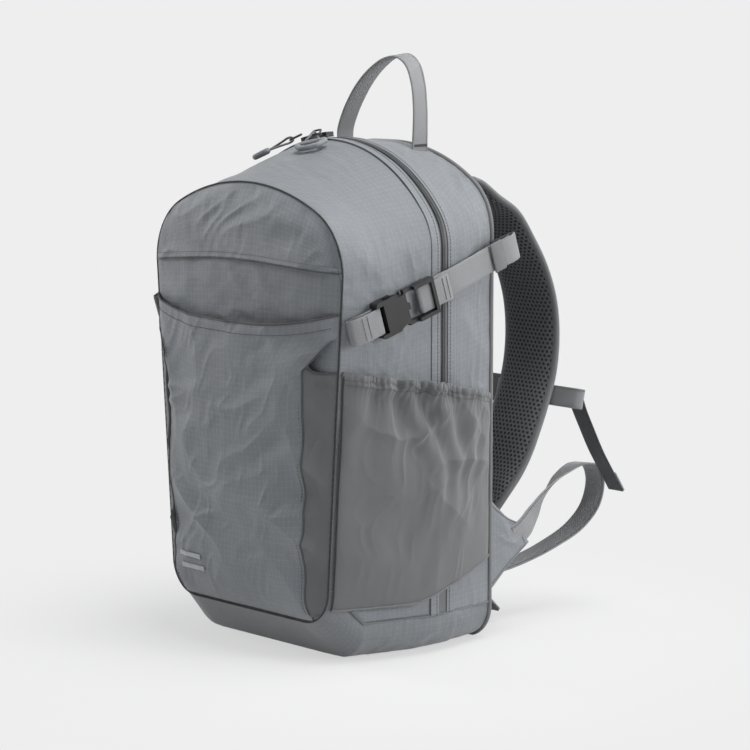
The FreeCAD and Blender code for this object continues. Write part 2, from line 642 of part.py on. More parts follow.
def sternum_strap():
    """Chest strap across both shoulder straps, clipped in the middle, with a folded loop and tail on the right."""
    parts = buckle(STERNUM_W)
    long, bar_x = parts["long"], parts["bar_x"]
    r = BAR_T / 2 + 0.6 + STRAP_T / 2
    left_points = [(-long - 8.0, r)] + turn((-long + 2.2, 0), r, 90, -90, 10)
    left_points += [(-long - 8.0, -r), (-long - 16.0, -5.2), (-98.0, -5.2)]
    right_points = [(34.0, -5.2), (132.0, -5.2), (139.0, -2.6), (132.0, 0.6), (96.0, -2.6)]
    made = {
        "sternum_buckle_female": parts["female"],
        "sternum_buckle_male": Part.makeCompound([parts["male"]]),
        "sternum_prong_upper": parts["prong_upper"],
        "sternum_prong_lower": parts["prong_lower"],
        "sternum_fold": wrap(bar_x + 1.2, bar_x + 24.0, STERNUM_W),
        "sternum_webbing_left": ribbon(left_points, STRAP_T, STERNUM_W),
        "sternum_webbing_right": ribbon(right_points, STRAP_T, STERNUM_W),
    }
    made = {name: placed(shape, STERNUM_AT, (1.0, 0.0, 0.0), STERNUM_OUT) for name, shape in made.items()}
    made["sternum_buckle_male"] = Part.makeCompound(made["sternum_buckle_male"].Solids + made.pop("sternum_fold").Solids)
    tail = hanging_ribbon(STERNUM_TAIL, STERNUM_W, 112.0)
    made["sternum_webbing_right"] = Part.makeCompound(made["sternum_webbing_right"].Solids + tail.Solids)
    return made


def hanging_ribbon(path, width, x_low):
    """Webbing whose (distance behind the rear seam, height) path lies in the YZ plane, from x_low across its width."""
    points = [Vector(BACK_Y + y, 0, z) for y, z in path]
    body = strip(points, STRAP_T).extrude(Vector(0, width, 0))
    turned = FreeCAD.Matrix(0, 1, 0, x_low, 1, 0, 0, 0, 0, 0, 1, 0, 0, 0, 0, 1)
    return body.transformGeometry(turned)


def main():
    os.makedirs("parts", exist_ok=True)
    nodes = {}
    nodes.update(bag_panels())
    nodes.update(back_pieces())
    nodes.update(front_pieces())
    nodes.update(haul_loop())
    nodes.update(sternum_strap())
    for side in ("left", "right"):
        nodes["zip_slider_" + side] = slider(side)
        nodes.update({name + "_" + side: shape for name, shape in zipper_pull(side).items()})
    right = {"side_pocket": side_pocket()}
    right.update(compression_strap())
    right.update(shoulder_strap())
    right["ladder_lock"] = Part.makeCompound([ladder_lock(), lock_holder()])
    right["loop_webbing"] = loop_webbing()
    right["corner_tab"] = corner_tab()
    pairs_in_one_node = {"corner_tab": "corner_tabs", "side_strap_stub": "side_strap_stubs",
                         "side_strap_webbing": "side_strap_webbing"}
    for name, shape in right.items():
        if name in pairs_in_one_node:
            nodes[pairs_in_one_node[name]] = Part.makeCompound(shape.Solids + mirrored(shape).Solids)
            continue
        nodes[name + "_right"] = shape
        nodes[name + "_left"] = mirrored(shape)
    for side in ("left", "right"):
        origin, along, out = pull_frame(side)
        print("pull", side, "turns at", [round(c, 3) for c in origin],
              "about", [round(c, 5) for c in along.cross(out).normalize()])
    for name, shape in nodes.items():
        print(name, len(shape.Solids), round(shape.Volume), shape.isValid())
        shape.exportStep("parts/" + name + ".step")
    print(len(nodes), "nodes")


main()
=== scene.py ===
# %% [markdown]
# # A hiking daypack in Blender
# The bag is a sewn shell of ripstop nylon with stretch pockets, webbing straps, plastic buckles and two
# padded shoulder straps. Every soft piece is worked out here with numpy, in the same frame as the solid
# model: metres, +Z up, the front panel towards -Y and the wearer's back towards +Y.

import json
import math

import bpy
import numpy as np
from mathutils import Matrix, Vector


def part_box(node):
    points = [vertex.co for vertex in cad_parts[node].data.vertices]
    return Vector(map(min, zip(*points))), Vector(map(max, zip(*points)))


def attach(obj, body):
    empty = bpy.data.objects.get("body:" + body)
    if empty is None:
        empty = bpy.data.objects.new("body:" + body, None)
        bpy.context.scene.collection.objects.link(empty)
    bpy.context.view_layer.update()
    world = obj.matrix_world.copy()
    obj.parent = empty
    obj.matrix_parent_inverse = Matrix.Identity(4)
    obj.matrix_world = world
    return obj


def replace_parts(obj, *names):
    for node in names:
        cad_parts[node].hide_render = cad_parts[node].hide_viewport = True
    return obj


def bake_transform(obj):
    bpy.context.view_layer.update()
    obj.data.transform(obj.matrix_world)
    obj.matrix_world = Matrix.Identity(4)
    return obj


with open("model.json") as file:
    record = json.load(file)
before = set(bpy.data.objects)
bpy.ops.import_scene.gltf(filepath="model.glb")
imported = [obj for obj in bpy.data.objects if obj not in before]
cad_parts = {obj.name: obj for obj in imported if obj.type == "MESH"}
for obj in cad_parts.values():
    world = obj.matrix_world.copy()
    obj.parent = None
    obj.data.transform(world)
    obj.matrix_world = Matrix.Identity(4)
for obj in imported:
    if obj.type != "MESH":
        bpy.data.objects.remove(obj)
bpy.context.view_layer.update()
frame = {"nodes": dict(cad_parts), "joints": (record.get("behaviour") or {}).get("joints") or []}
MM = 0.001
SIDES = ((1, "right"), (-1, "left"))
FRONT_Y, BACK_Y = -95.0, 90.0  # depths of the front and rear seams

# %% [markdown]
# ## Camera
# A long lens far away keeps the bag's edges nearly parallel, as in a catalogue picture. It stands to the
# right of the front and a little above the middle. A point's place is given by its bearing, height angle
# and distance.

# %% Camera
AIM = np.array([0.0325, 0.0349, 0.2475])
BEARING, RISE, DISTANCE = math.radians(47.0), math.radians(8.0), 2.6


def look_from(bearing, rise, distance):
    """Place on a sphere round the aim point, and the turn that faces its centre."""
    back = np.array([math.sin(bearing) * math.cos(rise), -math.cos(bearing) * math.cos(rise), math.sin(rise)])
    return AIM + back * distance, (math.pi / 2 - rise, 0.0, bearing)


lens = bpy.data.cameras.new("camera")
lens.lens, lens.sensor_width = 132.0, 36.0
camera = bpy.data.objects.new("camera", lens)
bpy.context.scene.collection.objects.link(camera)
camera.location, camera.rotation_euler = look_from(BEARING, RISE, DISTANCE)
bpy.context.scene.camera = camera
print("camera at", [round(c, 3) for c in camera.location])

# %% [markdown]
# ## Meshes from arrays
# A sheet is a grid of points: rows along one parameter and columns along the other. Real cloth has two
# faces, so the grid is doubled inwards along its own normal and the rims are closed. UVs are kept in metres
# of cloth, so a weave has its true size on every piece.

# %% Mesh helpers
made = {}


def to_mesh(name, points, faces, uv=None, smooth=True):
    """A mesh object from an (n, 3) array in millimetres, quads, and one (u, v) in millimetres per point."""
    data = bpy.data.meshes.new(name)
    data.from_pydata((points * MM).astype(float).tolist(), [], [list(face) for face in faces])
    if uv is not None:
        corners = np.empty(len(data.loops), int)
        data.loops.foreach_get("vertex_index", corners)
        layer = data.uv_layers.new(name="cloth")
        layer.data.foreach_set("uv", (uv[corners] * MM).astype(np.float32).ravel())
    data.polygons.foreach_set("use_smooth", np.full(len(data.polygons), smooth))
    data.update()
    piece = bpy.data.objects.new(name, data)
    bpy.context.scene.collection.objects.link(piece)
    made[name] = piece
    return piece


def quads(rows, cols, round_rows=False, round_cols=False):
    """Corner numbers of each cell of a grid, joined at its ends where it is round."""
    i = np.arange(rows if round_rows else rows - 1)[:, None]
    j = np.arange(cols if round_cols else cols - 1)[None, :]
    i2, j2 = (i + 1) % rows, (j + 1) % cols
    return np.stack([i * cols + j, i * cols + j2, i2 * cols + j2, i2 * cols + j], -1).reshape(-1, 4)


def unit(v):
    """Each vector divided by its length."""
    return v / np.maximum(np.linalg.norm(v, axis=-1, keepdims=True), 1e-9)


def normals(p):
    """Across each grid point: the cross product of its row step and its column step."""
    return unit(np.cross(np.gradient(p, axis=1), np.gradient(p, axis=0)))


def run_along(path):
    """Distance along a path at each of its points: the sum of the steps before it."""
    return np.concatenate([[0], np.cumsum(np.linalg.norm(np.diff(path, axis=0), axis=1))])


def pick(at, run, values):
    """Each column of values read at new places along their run."""
    return np.stack([np.interp(at, run, values[:, c]) for c in range(values.shape[1])], -1)


def grid(low, high, rows, first, last, cols):
    """Two parameters on a grid: low to high over the rows, first to last over the columns."""
    return np.meshgrid(np.linspace(low, high, rows), np.linspace(first, last, cols), indexing="ij")


def arc_uv(p):
    """(u, v) of a grid as lengths measured along its middle row and its middle column."""
    rows, cols = p.shape[:2]
    u, v = run_along(p[rows // 2]), run_along(p[:, cols // 2])
    return np.stack(np.broadcast_arrays(u[None, :], v[:, None]), -1)


def cloth(name, p, thick=1.0, away=(0.0, 0.0, 240.0), uv=None):
    """A closed sheet: the grid p is its outer face, turned away from a point; a copy lies thick inside it."""
    uv = arc_uv(p) if uv is None else uv
    n = normals(p)
    if np.sum(n * (p - np.array(away))) < 0:
        p, uv = p[:, ::-1], uv[:, ::-1]
        n = normals(p)
    rows, cols = p.shape[:2]
    count = rows * cols
    outer = quads(rows, cols)
    top, left = np.arange(cols), np.arange(rows) * cols
    rims = []
    for edge, flip in ((top, False), (top + count - cols, True), (left, True), (left + cols - 1, False)):
        a, b = edge[:-1], edge[1:]
        quad = np.stack([a, a + count, b + count, b], -1)
        rims.append(quad if flip else quad[:, ::-1])
    # the grid's cells wind against the normal used above, so outer faces are turned and inner ones kept
    faces = np.concatenate([outer[:, ::-1], outer + count, *rims])
    points = np.concatenate([p.reshape(-1, 3), (p - n * thick).reshape(-1, 3)])
    return to_mesh(name, points, faces, np.concatenate([uv.reshape(-1, 2)] * 2))


def frames(path, up, closed=False):
    """Along, side and up directions at each point of a path, from a rough up direction."""
    along = unit(np.roll(path, -1, 0) - np.roll(path, 1, 0) if closed else np.gradient(path, axis=0))
    side = unit(np.cross(along, np.broadcast_to(np.asarray(up, float), path.shape)))
    return along, side, np.cross(side, along)


def sweep(name, path, section, up=(0, 0, 1), closed=False):
    """A section (side, up) carried along a path; its ends are closed with a flat cap."""
    along, side, over = frames(path, up, closed)
    section = np.asarray(section, float)
    p = path[:, None] + section[None, :, :1] * side[:, None] + section[None, :, 1:] * over[:, None]
    rows, cols = p.shape[:2]
    faces = quads(rows, cols, closed, True).tolist()
    if not closed:
        faces += [list(range(cols))[::-1], [(rows - 1) * cols + k for k in range(cols)]]
    after = np.roll(section, -1, axis=0)
    if np.sum(section[:, 0] * after[:, 1] - section[:, 1] * after[:, 0]) <= 0:
        faces = [face[::-1] for face in faces]
    uv = np.stack(np.broadcast_arrays(run_along(section)[None, :], run_along(path)[:, None]), -1)
    return to_mesh(name, p.reshape(-1, 3), faces, uv.reshape(-1, 2))


def circle(radius, steps=10):
    """Points round a circle."""
    a = np.linspace(0, 2 * np.pi, steps, endpoint=False)
    return np.stack([radius * np.cos(a), radius * np.sin(a)], -1)


def slab(width, thick, corner=0.5, steps=3):
    """Section of webbing: a flat rectangle whose long edges are rounded."""
    a = np.linspace(-np.pi / 2, np.pi / 2, steps + 2)
    right = np.stack([width / 2 - corner + corner * np.cos(a), thick / 2 * np.sin(a)], -1)
    flat = np.linspace(width / 2 - corner, -width / 2 + corner, 9)[1:-1]
    top = np.stack([flat, np.full(7, thick / 2)], -1)
    return np.concatenate([right, top, -right, -top])


def curve(points, steps):
    """A smooth line through points: each span is a cubic whose end slopes follow the neighbouring points."""
    p = np.asarray(points, float)
    t = np.concatenate([[0], np.cumsum(np.sqrt(np.linalg.norm(np.diff(p, axis=0), axis=1)))])
    slope = np.gradient(p, t, axis=0)
    x = np.linspace(0, t[-1], steps)
    k = np.clip(np.searchsorted(t, x, "right") - 1, 0, len(t) - 2)
    h = (t[k + 1] - t[k])[:, None]
    w = ((x - t[k]) / h[:, 0])[:, None]
    dense = ((1 + 2 * w) * (1 - w) ** 2 * p[k] + w * (1 - w) ** 2 * h * slope[k]
             + w * w * (3 - 2 * w) * p[k + 1] + w * w * (w - 1) * h * slope[k + 1])
    run = run_along(dense)
    return pick(np.linspace(0, run[-1], steps), run, dense)


BLOCK = np.array([[x, y, z] for x in (-1, 1) for y in (-1, 1) for z in (-1, 1)], float)
BLOCK_FACES = np.array([[0, 1, 3, 2], [4, 6, 7, 5], [0, 4, 5, 1], [2, 3, 7, 6], [0, 2, 6, 4], [1, 5, 7, 3]])

TAPER = [[0.82, 0.75, 1.0]]  # a stitch is a little smaller on its outer face


def stitches(name, path, out, pitch=3.2, size=(2.1, 0.5, 0.35), lift=0.1):
    """Small blocks set evenly along a path: size is along, across and out of the cloth."""
    run = run_along(path)
    at = np.arange(pitch / 2, run[-1], pitch)
    spot = pick(at, run, path)
    up = unit(pick(at, run, np.broadcast_to(np.asarray(out, float), path.shape)))
    along, side, up = frames(spot, up)
    shape = BLOCK * np.array(size) / 2 * np.where(BLOCK[:, 2:] > 0, TAPER, 1.0)
    p = (spot + up * lift)[:, None] + shape[:, :1] * along[:, None] - shape[:, 1:2] * side[:, None] \
        + shape[:, 2:] * up[:, None]
    faces = BLOCK_FACES[None] + 8 * np.arange(len(spot))[:, None, None]
    return to_mesh(name, p.reshape(-1, 3), faces.reshape(-1, 4), smooth=False)


def noise(u, v, seed):
    """Smooth random field: random values at whole numbers, eased between them."""
    table = np.random.default_rng(seed).uniform(-1, 1, (97, 97))
    iu, iv = np.floor(u).astype(int), np.floor(v).astype(int)
    fu, fv = u - iu, v - iv
    fu, fv = fu * fu * (3 - 2 * fu), fv * fv * (3 - 2 * fv)
    near, far = (table[iu % 97, k % 97] * (1 - fu) + table[(iu + 1) % 97, k % 97] * fu for k in (iv, iv + 1))
    return near * (1 - fv) + far * fv


def creases(u, v, seed, size=30.0, tilt=0.5, stretch=2.5):
    """Soft cloth folds: two layers of ridges, each one minus the size of a stretched noise field."""
    total = np.zeros(np.broadcast(u, v).shape)
    for k, (scale, share) in enumerate(((1.0, 0.62), (0.47, 0.28), (0.22, 0.10))):
        turn = tilt + 0.9 * k
        a = (u * math.cos(turn) + v * math.sin(turn)) / (size * scale)
        b = (-u * math.sin(turn) + v * math.cos(turn)) / (size * scale * stretch)
        bend = noise(b * 0.9, a * 0.4, seed + 50 + k)
        total += share * (1 - 2.4 * np.abs(noise(a + bend, b, seed + k)))
    return total


print("helpers ready")

# %% [markdown]
# ## Materials
# Every finish is worked out from formulas: weave, ripstop grid, mesh holes and moulding grain. Shader sums
# are written as plain expressions: a wrapped socket turns `a * 2 + b` into Math nodes. Cloth patterns read
# the UVs, which are in metres, and hard parts read Object coordinates.

# %% Node expressions


class Socket:
    """An output that can be added, multiplied, compared and so on, each as a Math node."""

    def __init__(self, graph, out):
        self.graph, self.out = graph, out

    def math(self, operation, *others):
        return self.graph.add("ShaderNodeMath", {"operation": operation}, [self, *others])

    def __add__(self, other): return self.math("ADD", other)
    def __radd__(self, other): return self.math("ADD", other)
    def __sub__(self, other): return self.math("SUBTRACT", other)

    def __rsub__(self, other):
        return self.graph.add("ShaderNodeMath", {"operation": "SUBTRACT"}, [other, self])

    def __mul__(self, other): return self.math("MULTIPLY", other)
    def __rmul__(self, other): return self.math("MULTIPLY", other)
    def __truediv__(self, other): return self.math("DIVIDE", other)
    def __pow__(self, other): return self.math("POWER", other)
    def __lt__(self, other): return self.math("LESS_THAN", other)
    def __gt__(self, other): return self.math("GREATER_THAN", other)
    def fract(self): return self.math("FRACT")
    def sine(self): return self.math("SINE")
    def size(self): return self.math("ABSOLUTE")
    def clamp(self): return self.graph.add("ShaderNodeClamp", {}, [self, 0.0, 1.0])


class Graph:
    """A material's node tree with one method that adds any node."""

    def __init__(self, name):
        self.material = bpy.data.materials.new(name)
        self.material.use_nodes = True
        self.tree = self.material.node_tree
        self.shader = self.tree.nodes["Principled BSDF"]

    def put(self, socket, value):
        """Link a wrapped socket, or set a number or colour."""
        if isinstance(value, Socket):
            self.tree.links.new(value.out, socket)
        elif socket.type == "RGBA" and len(value) == 3:
            socket.default_value = (*value, 1.0)
        else:
            socket.default_value = value

    def add(self, kind, settings=None, inputs=(), output=0):
        """Add a node, set its settings first and then its sockets, and wrap one of its outputs."""
        node = self.tree.nodes.new(kind)
        for key, value in (settings or {}).items():
            setattr(node, key, value)
        named = inputs.items() if isinstance(inputs, dict) else enumerate(inputs)
        for key, value in named:
            self.put(node.inputs[key], value)
        return Socket(self, node.outputs[output])

    def mix(self, share, a, b):
        """Colour a where share is 0, colour b where it is 1."""
        node = self.tree.nodes.new("ShaderNodeMix")
        node.data_type = "RGBA"
        for key, value in ((0, share), (6, a), (7, b)):
            self.put(node.inputs[key], value)
        return Socket(self, node.outputs[2])

    def uv(self):
        """Metres of cloth across and along."""
        place = self.add("ShaderNodeUVMap", {"uv_map": "cloth"})
        split = self.tree.nodes.new("ShaderNodeSeparateXYZ")
        self.put(split.inputs[0], place)
        return place, Socket(self, split.outputs[0]), Socket(self, split.outputs[1])

    def noise(self, place, scale, detail=3.0, rough=0.5):
        """A smooth noise value at a place."""
        return self.add("ShaderNodeTexNoise", {}, {"Vector": place, "Scale": scale, "Detail": detail,
                                                   "Roughness": rough})

    def finish(self, color, rough, height=None, depth=0.0002, **fixed):
        """Feed the shader: colour, roughness, a bump from height, and plain numbers for the rest."""
        self.put(self.shader.inputs["Base Color"], color)
        self.put(self.shader.inputs["Roughness"], rough)
        if height is not None:
            bump = self.add("ShaderNodeBump", {}, {"Strength": 1.0, "Distance": depth, "Height": height})
            self.put(self.shader.inputs["Normal"], bump)
        for key, value in fixed.items():
            self.put(self.shader.inputs[key.replace("_", " ")], value)
        return self.material


def shade(color, share):
    """A colour made lighter or darker by a share."""
    return tuple(c * share for c in color)


print("node expressions ready")

# %% [markdown]
# Ripstop nylon is a light plain weave with thicker threads every few millimetres, which show as a fine grid
# of raised dots. It is slightly shiny and holds sharp little creases. Stretch fabric has no grid and a
# softer, flatter look, and webbing has a thick twill weave that runs at a slant.

# %% Cloth finishes


def ripstop(name, color, cell=0.0052):
    """Plain weave; a dot where the two sets of thick threads cross, and a faint line along each."""
    g = Graph(name)
    place, u, v = g.uv()
    line_u = ((u / cell).fract() - 0.5).size() < 0.07
    line_v = ((v / cell).fract() - 0.5).size() < 0.07
    near_u = (((u / cell).fract() - 0.5).size() < 0.14) * (((v / cell).fract() - 0.5).size() < 0.14)
    threads = (line_u + line_v).clamp() * 0.35 + near_u * 0.65
    weave = ((u * 9000.0).sine() * (v * 9000.0).sine())
    broad = g.noise(place, 9.0, 4.0)
    fine = g.noise(place, 90.0, 5.0, 0.6)
    tone = g.mix(broad, shade(color, 0.90), shade(color, 1.10))
    tone = g.mix(threads * 0.55, tone, shade(color, 1.32))
    tone = g.mix((fine - 0.5).size() * 0.5, tone, shade(color, 0.8))
    height = threads * 0.22 + weave * 0.05 + fine * 0.8 + broad * 1.6
    return g.finish(tone, 0.40 + fine * 0.14, height, 0.0009, Sheen_Weight=0.12, Sheen_Roughness=0.4,
                    Specular_IOR_Level=0.42)


def knit(name, color):
    """Stretch fabric: tiny slanted loops, nearly smooth from afar."""
    g = Graph(name)
    place, u, v = g.uv()
    loops = ((u * 5200.0 + v * 2600.0).sine() * (v * 5200.0).sine())
    broad = g.noise(place, 12.0, 3.0)
    fine = g.noise(place, 260.0, 3.0)
    tone = g.mix(broad, shade(color, 0.93), shade(color, 1.07))
    return g.finish(g.mix(fine * 0.3, tone, shade(color, 0.8)), 0.78, loops * 0.12 + fine * 0.3 + broad * 1.2,
                    0.0006, Sheen_Weight=0.25, Sheen_Roughness=0.5, Specular_IOR_Level=0.25)


def twill(name, color, step=0.0016, depth=0.00035):
    """Webbing: two sets of slanted ribs that cross, the second at half the pitch, and a worn tone."""
    g = Graph(name)
    place, u, v = g.uv()
    ribs = ((u + v) * (6.2832 / step)).sine() * 0.5 + 0.5
    cross = ((u - v) * (6.2832 / step / 2.0)).sine() * 0.5 + 0.5
    worn = g.noise(place, 40.0, 4.0)
    tone = g.mix(ribs * 0.7 + cross * 0.3, shade(color, 0.72), shade(color, 1.12))
    tone = g.mix(worn * 0.35, tone, shade(color, 0.82))
    return g.finish(tone, 0.68, ribs * 0.7 + cross * 0.3 + worn * 0.4, depth, Sheen_Weight=0.15,
                    Sheen_Roughness=0.45, Specular_IOR_Level=0.3)


def open_mesh(name, thread, hole, cell=0.0042, share=0.36):
    """Spacer mesh: rows of round holes, every second row shifted by half a hole."""
    g = Graph(name)
    place, u, v = g.uv()
    row = v / (cell * 0.866)
    odd = (row.math("FLOOR") * 0.5).fract()
    x, y = (u / cell + odd).fract() - 0.5, (row.fract() - 0.5) * 0.866
    away = (x * x + y * y) ** 0.5
    rim = ((away - share + 0.08) / 0.08).clamp()
    fine = g.noise(place, 700.0, 2.0)
    tone = g.mix(rim, hole, thread)
    tone = g.mix(fine * 0.4, tone, shade(thread, 0.55))
    return g.finish(tone, 0.85, rim + fine * 0.2, 0.0011, Specular_IOR_Level=0.2)


RIPSTOP = ripstop("ripstop nylon", (0.200, 0.213, 0.228))
RIPSTOP_BASE = ripstop("ripstop base nylon", (0.184, 0.195, 0.207))
STRETCH = knit("stretch knit", (0.138, 0.144, 0.148))
WEBBING = twill("grey webbing", (0.285, 0.290, 0.300))
# painted shade: the same grey webbing made darker for undersides and hanging tails that face away from the
# light
SHADED_WEBBING = twill("webbing painted in shade", (0.060, 0.062, 0.067))
BINDING = twill("binding tape", (0.185, 0.190, 0.196), 0.0011, 0.0002)
TAPE = twill("zipper tape weave", (0.175, 0.180, 0.186), 0.0009, 0.00015)
MESH = open_mesh("spacer mesh", (0.150, 0.154, 0.160), (0.014, 0.014, 0.016), 0.0050, 0.33)
PAD_COVER = open_mesh("strap cover weave", (0.20, 0.208, 0.215), (0.115, 0.12, 0.125), 0.0026, 0.22)
PIPING = knit("black piping", (0.036, 0.037, 0.040))
# painted shadow: a dark strip for the shade in the folds at the top panel's lip, the hems and the stash
# pocket's edges
SEAM_SHADE = knit("painted fold shadow", (0.075, 0.078, 0.082))
DARK_THREAD = knit("dark thread", (0.06, 0.062, 0.066))
CORD_BRAID = twill("braided cord", (0.15, 0.156, 0.165), 0.0011, 0.0002)
REFLECTIVE = knit("reflective film", (0.46, 0.47, 0.475))

# %% [markdown]
# Moulded plastic is never perfectly even. A fine spark-eroded grain breaks up its shine, and a slow change
# in roughness reads as handling. The same pattern serves black buckles, grey rubber grips and painted metal
# sliders.

# %% Moulded and painted finishes


def moulded(name, color, rough, grain=1400.0, depth=0.00006, metallic=0.0):
    """Tone and roughness follow a slow noise; the bump is a fine grain plus a little of the slow noise."""
    g = Graph(name)
    place = g.add("ShaderNodeTexCoord", output=3)
    fine, broad = g.noise(place, grain, 3.0), g.noise(place, 60.0, 3.0)
    tone = g.mix(broad, shade(color, 0.85), shade(color, 1.18))
    return g.finish(tone, broad * 0.16 + (rough - 0.08), fine + broad * 0.4, depth, Metallic=metallic)


PLASTIC = moulded("black buckle plastic", (0.011, 0.011, 0.012), 0.38)
RUBBER = moulded("grey grip rubber", (0.21, 0.222, 0.235), 0.62, 900.0, 0.0001)
SLIDER = moulded("painted slider", (0.045, 0.046, 0.05), 0.34, 1800.0, 0.00003, 0.6)
COIL = moulded("nylon coil", (0.070, 0.072, 0.076), 0.42)
print(len(bpy.data.materials), "materials")


def finish(piece, material, body="pack", nodes=()):
    """Give a piece its material, the body it moves with and the solids it stands for."""
    piece.data.materials.clear()
    piece.data.materials.append(material)
    if body:
        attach(piece, body)
    if nodes:
        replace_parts(piece, *nodes)
    return piece


# %% [markdown]
# ## The bag's outline
# Seen from the front, the bag is an arch: a flat base, round lower corners, straight sides, round shoulders
# and a wide crown. The outline changes from the rear seam to the front seam, and every panel is cut from
# this one surface, so neighbours always meet. Stations give the outline's measures at five depths.

# %% Outline and bag surface
#                depth   half  low half  base   top   crown  shoulder  lower corner
STATIONS = np.array([[-95.0, 130.0, 110.0, 38.0, 434.0, 215.0, 62.0, 32.0],
                     [-60.0, 132.4, 119.2, 1.0, 445.6, 172.0, 58.0, 32.0],
                     [8.0, 137.0, 137.0, 0.8, 469.0, 160.0, 55.0, 32.0],
                     [36.0, 137.0, 137.0, 0.8, 469.0, 160.0, 55.0, 32.0],
                     [90.0, 130.0, 130.0, 0.8, 464.0, 190.0, 55.0, 32.0]])
BREAKS = (0.24, 0.30, 0.74, 0.82)  # ends of crown, shoulder, side and lower corner, in shares


def outline(s, y):
    """(x, z) of the bag's outline. s runs from 0 at the crown to 1 under the base, negative on the left."""
    y = np.asarray(y, float)
    measures = (np.interp(y, STATIONS[:, 0], STATIONS[:, k]) for k in range(1, 8))
    half, low, base, top, crown, top_r, base_r = measures
    a, sign = np.abs(s), np.where(s < 0, -1.0, 1.0)
    centre = top - crown
    corner = centre + np.sqrt((crown - top_r) ** 2 - (half - top_r) ** 2)
    tip = np.arctan2(half - top_r, corner - centre)
    b1, b2, b3, b4 = BREAKS
    t1 = tip * np.clip(a / b1, 0, 1)
    t2 = tip + (np.pi / 2 - tip) * np.clip((a - b1) / (b2 - b1), 0, 1)
    t3 = np.clip((a - b2) / (b3 - b2), 0, 1)
    t4 = np.pi / 2 * np.clip((a - b3) / (b4 - b3), 0, 1)
    t5 = np.clip((a - b4) / (1 - b4), 0, 1)
    x = np.select([a <= b1, a <= b2, a <= b3, a <= b4],
                  [crown * np.sin(t1), half - top_r + top_r * np.sin(t2), half + (low - half) * t3,
                   low - base_r + base_r * np.cos(t4)], (low - base_r) * (1 - t5))
    z = np.select([a <= b1, a <= b2, a <= b3, a <= b4],
                  [centre + crown * np.cos(t1), corner + top_r * np.cos(t2),
                   corner + (base + base_r - corner) * t3, base + base_r - base_r * np.sin(t4)],
                  base + 0 * t5)
    return sign * x, z


def bag(s, y, lift=0.0):
    """Point on the bag's surface; lift moves it outwards along the outline's own normal."""
    s, y = np.broadcast_arrays(np.asarray(s, float), np.asarray(y, float))
    x, z = outline(s, y)
    x2, z2 = outline(s + 0.001, y)
    x1, z1 = outline(s - 0.001, y)
    out = unit(np.stack([-(z2 - z1), 0 * x, x2 - x1], -1))
    return np.stack([x, y, z], -1) + out * np.asarray(lift)[..., None]


def bag_out(s, y):
    """The outline's outward direction."""
    return unit(bag(s, y, 1.0) - bag(s, y, 0.0))


BOOT = 0.735  # where the base panel's top seam crosses the sides
print("bag outline", [round(float(c), 1) for c in outline(0.5, 22.0)])

# %% [markdown]
# ## Gussets and base
# The gussets are the walls between the front and the back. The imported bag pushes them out, so each one
# swells a little between its seams, and the stitching draws short puckers into the cloth beside each seam.
# Both effects are one lift field over the panel: a swell, plus creases, plus ripples that fade away from
# the seams. Flat panels could be draped by simulation instead, but a lift over the shared outline keeps
# every seam exactly where its neighbour expects it.

# %% Gussets and base


def panel(name, s_range, y_range, swell, seed, size, material, nodes, ripple=0.55, fold=2.2, thick=1.0,
          calm=0.0):
    """A piece of the bag's surface. Lift = swell between seams + creases + ripples that run into the seams.
    Calm lowers it at the crown, where the zipper pulls pass, and behind the side pockets."""
    s = np.linspace(*s_range, size[0])
    s = np.where(s > 1, s - 2, s)
    y = np.linspace(*y_range, size[1])
    ss, yy = np.meshgrid(s, y, indexing="ij")
    flat = bag(ss, yy)
    uv = arc_uv(flat)
    across = (yy - y_range[0]) / (y_range[1] - y_range[0])
    edge = 4 * across * (1 - across)
    span = abs(y_range[1] - y_range[0])
    beside = np.exp(-np.minimum(across, 1 - across) * span / 7.0)
    run = uv[..., 1]
    lift = swell * edge ** 0.6 + fold * edge ** 0.5 * creases(run, yy * 1.2, seed, 34.0, 0.5)
    lift = lift + ripple * beside * noise(run / 5.5, yy / 16.0, seed + 9) * np.minimum(edge * 9, 1)
    lift = lift * (1 - calm * np.clip((0.30 - np.abs(ss)) / 0.08, 0, 1))
    lift = lift * (1 - calm * np.clip((np.abs(ss) - 0.49) / 0.05, 0, 1) * 1.3)
    p = flat + bag_out(ss, yy) * lift[..., None]
    p[..., 2] = np.maximum(p[..., 2], 0.6)
    return finish(cloth(name, p, thick, uv=uv), material, "pack", nodes)


WALLS = (-BOOT, BOOT)
panel("rear_gusset_cloth", WALLS, (BACK_Y, 36.0), 1.6, 3, (420, 40), RIPSTOP, ["rear_gusset"])
panel("front_gusset_cloth", WALLS, (8.0, FRONT_Y), 3.4, 5, (460, 90), RIPSTOP, ["front_gusset"],
      fold=2.8, calm=0.7)
panel("zipper_tape_cloth", WALLS, (36.4, 7.6), 0.5, 7, (420, 16), TAPE, ["zipper_tape"],
      ripple=0.2, fold=0.3)
panel("base_cloth", (BOOT, 2 - BOOT), (BACK_Y, FRONT_Y), 0.8, 11, (200, 130), RIPSTOP_BASE, ["base_panel"],
      fold=1.6)

ring_s = np.linspace(-1, 1, 500, endpoint=False)
piping = sweep("front_seam_piping", bag(ring_s, -95.6, 0.9), circle(0.8, 8), (0, 1, 0), closed=True)
finish(piping, PIPING)
half_s = np.linspace(-BOOT, BOOT, 420)
for label, depth, inset in (("rear", 32.2, -2.2), ("front", 11.8, 2.2)):
    out = bag_out(half_s, depth)
    welt = sweep(f"zipper_{label}_welt", bag(half_s, depth, 1.0), slab(10.4, 1.3, 0.6), out)
    finish(welt, RIPSTOP, "pack", ())
    finish(stitches(f"zipper_{label}_stitches", bag(half_s, depth + inset, 1.8), out), DARK_THREAD)
boot_y = np.linspace(89.0, -94.0, 200)
for side, label in SIDES:
    seam = bag(side * BOOT + 0 * boot_y, boot_y, 0.6)
    finish(sweep(f"base_seam_{label}", seam, slab(2.4, 1.4, 0.5), bag_out(side * BOOT, boot_y)), BINDING)
print(len(made), "pieces")

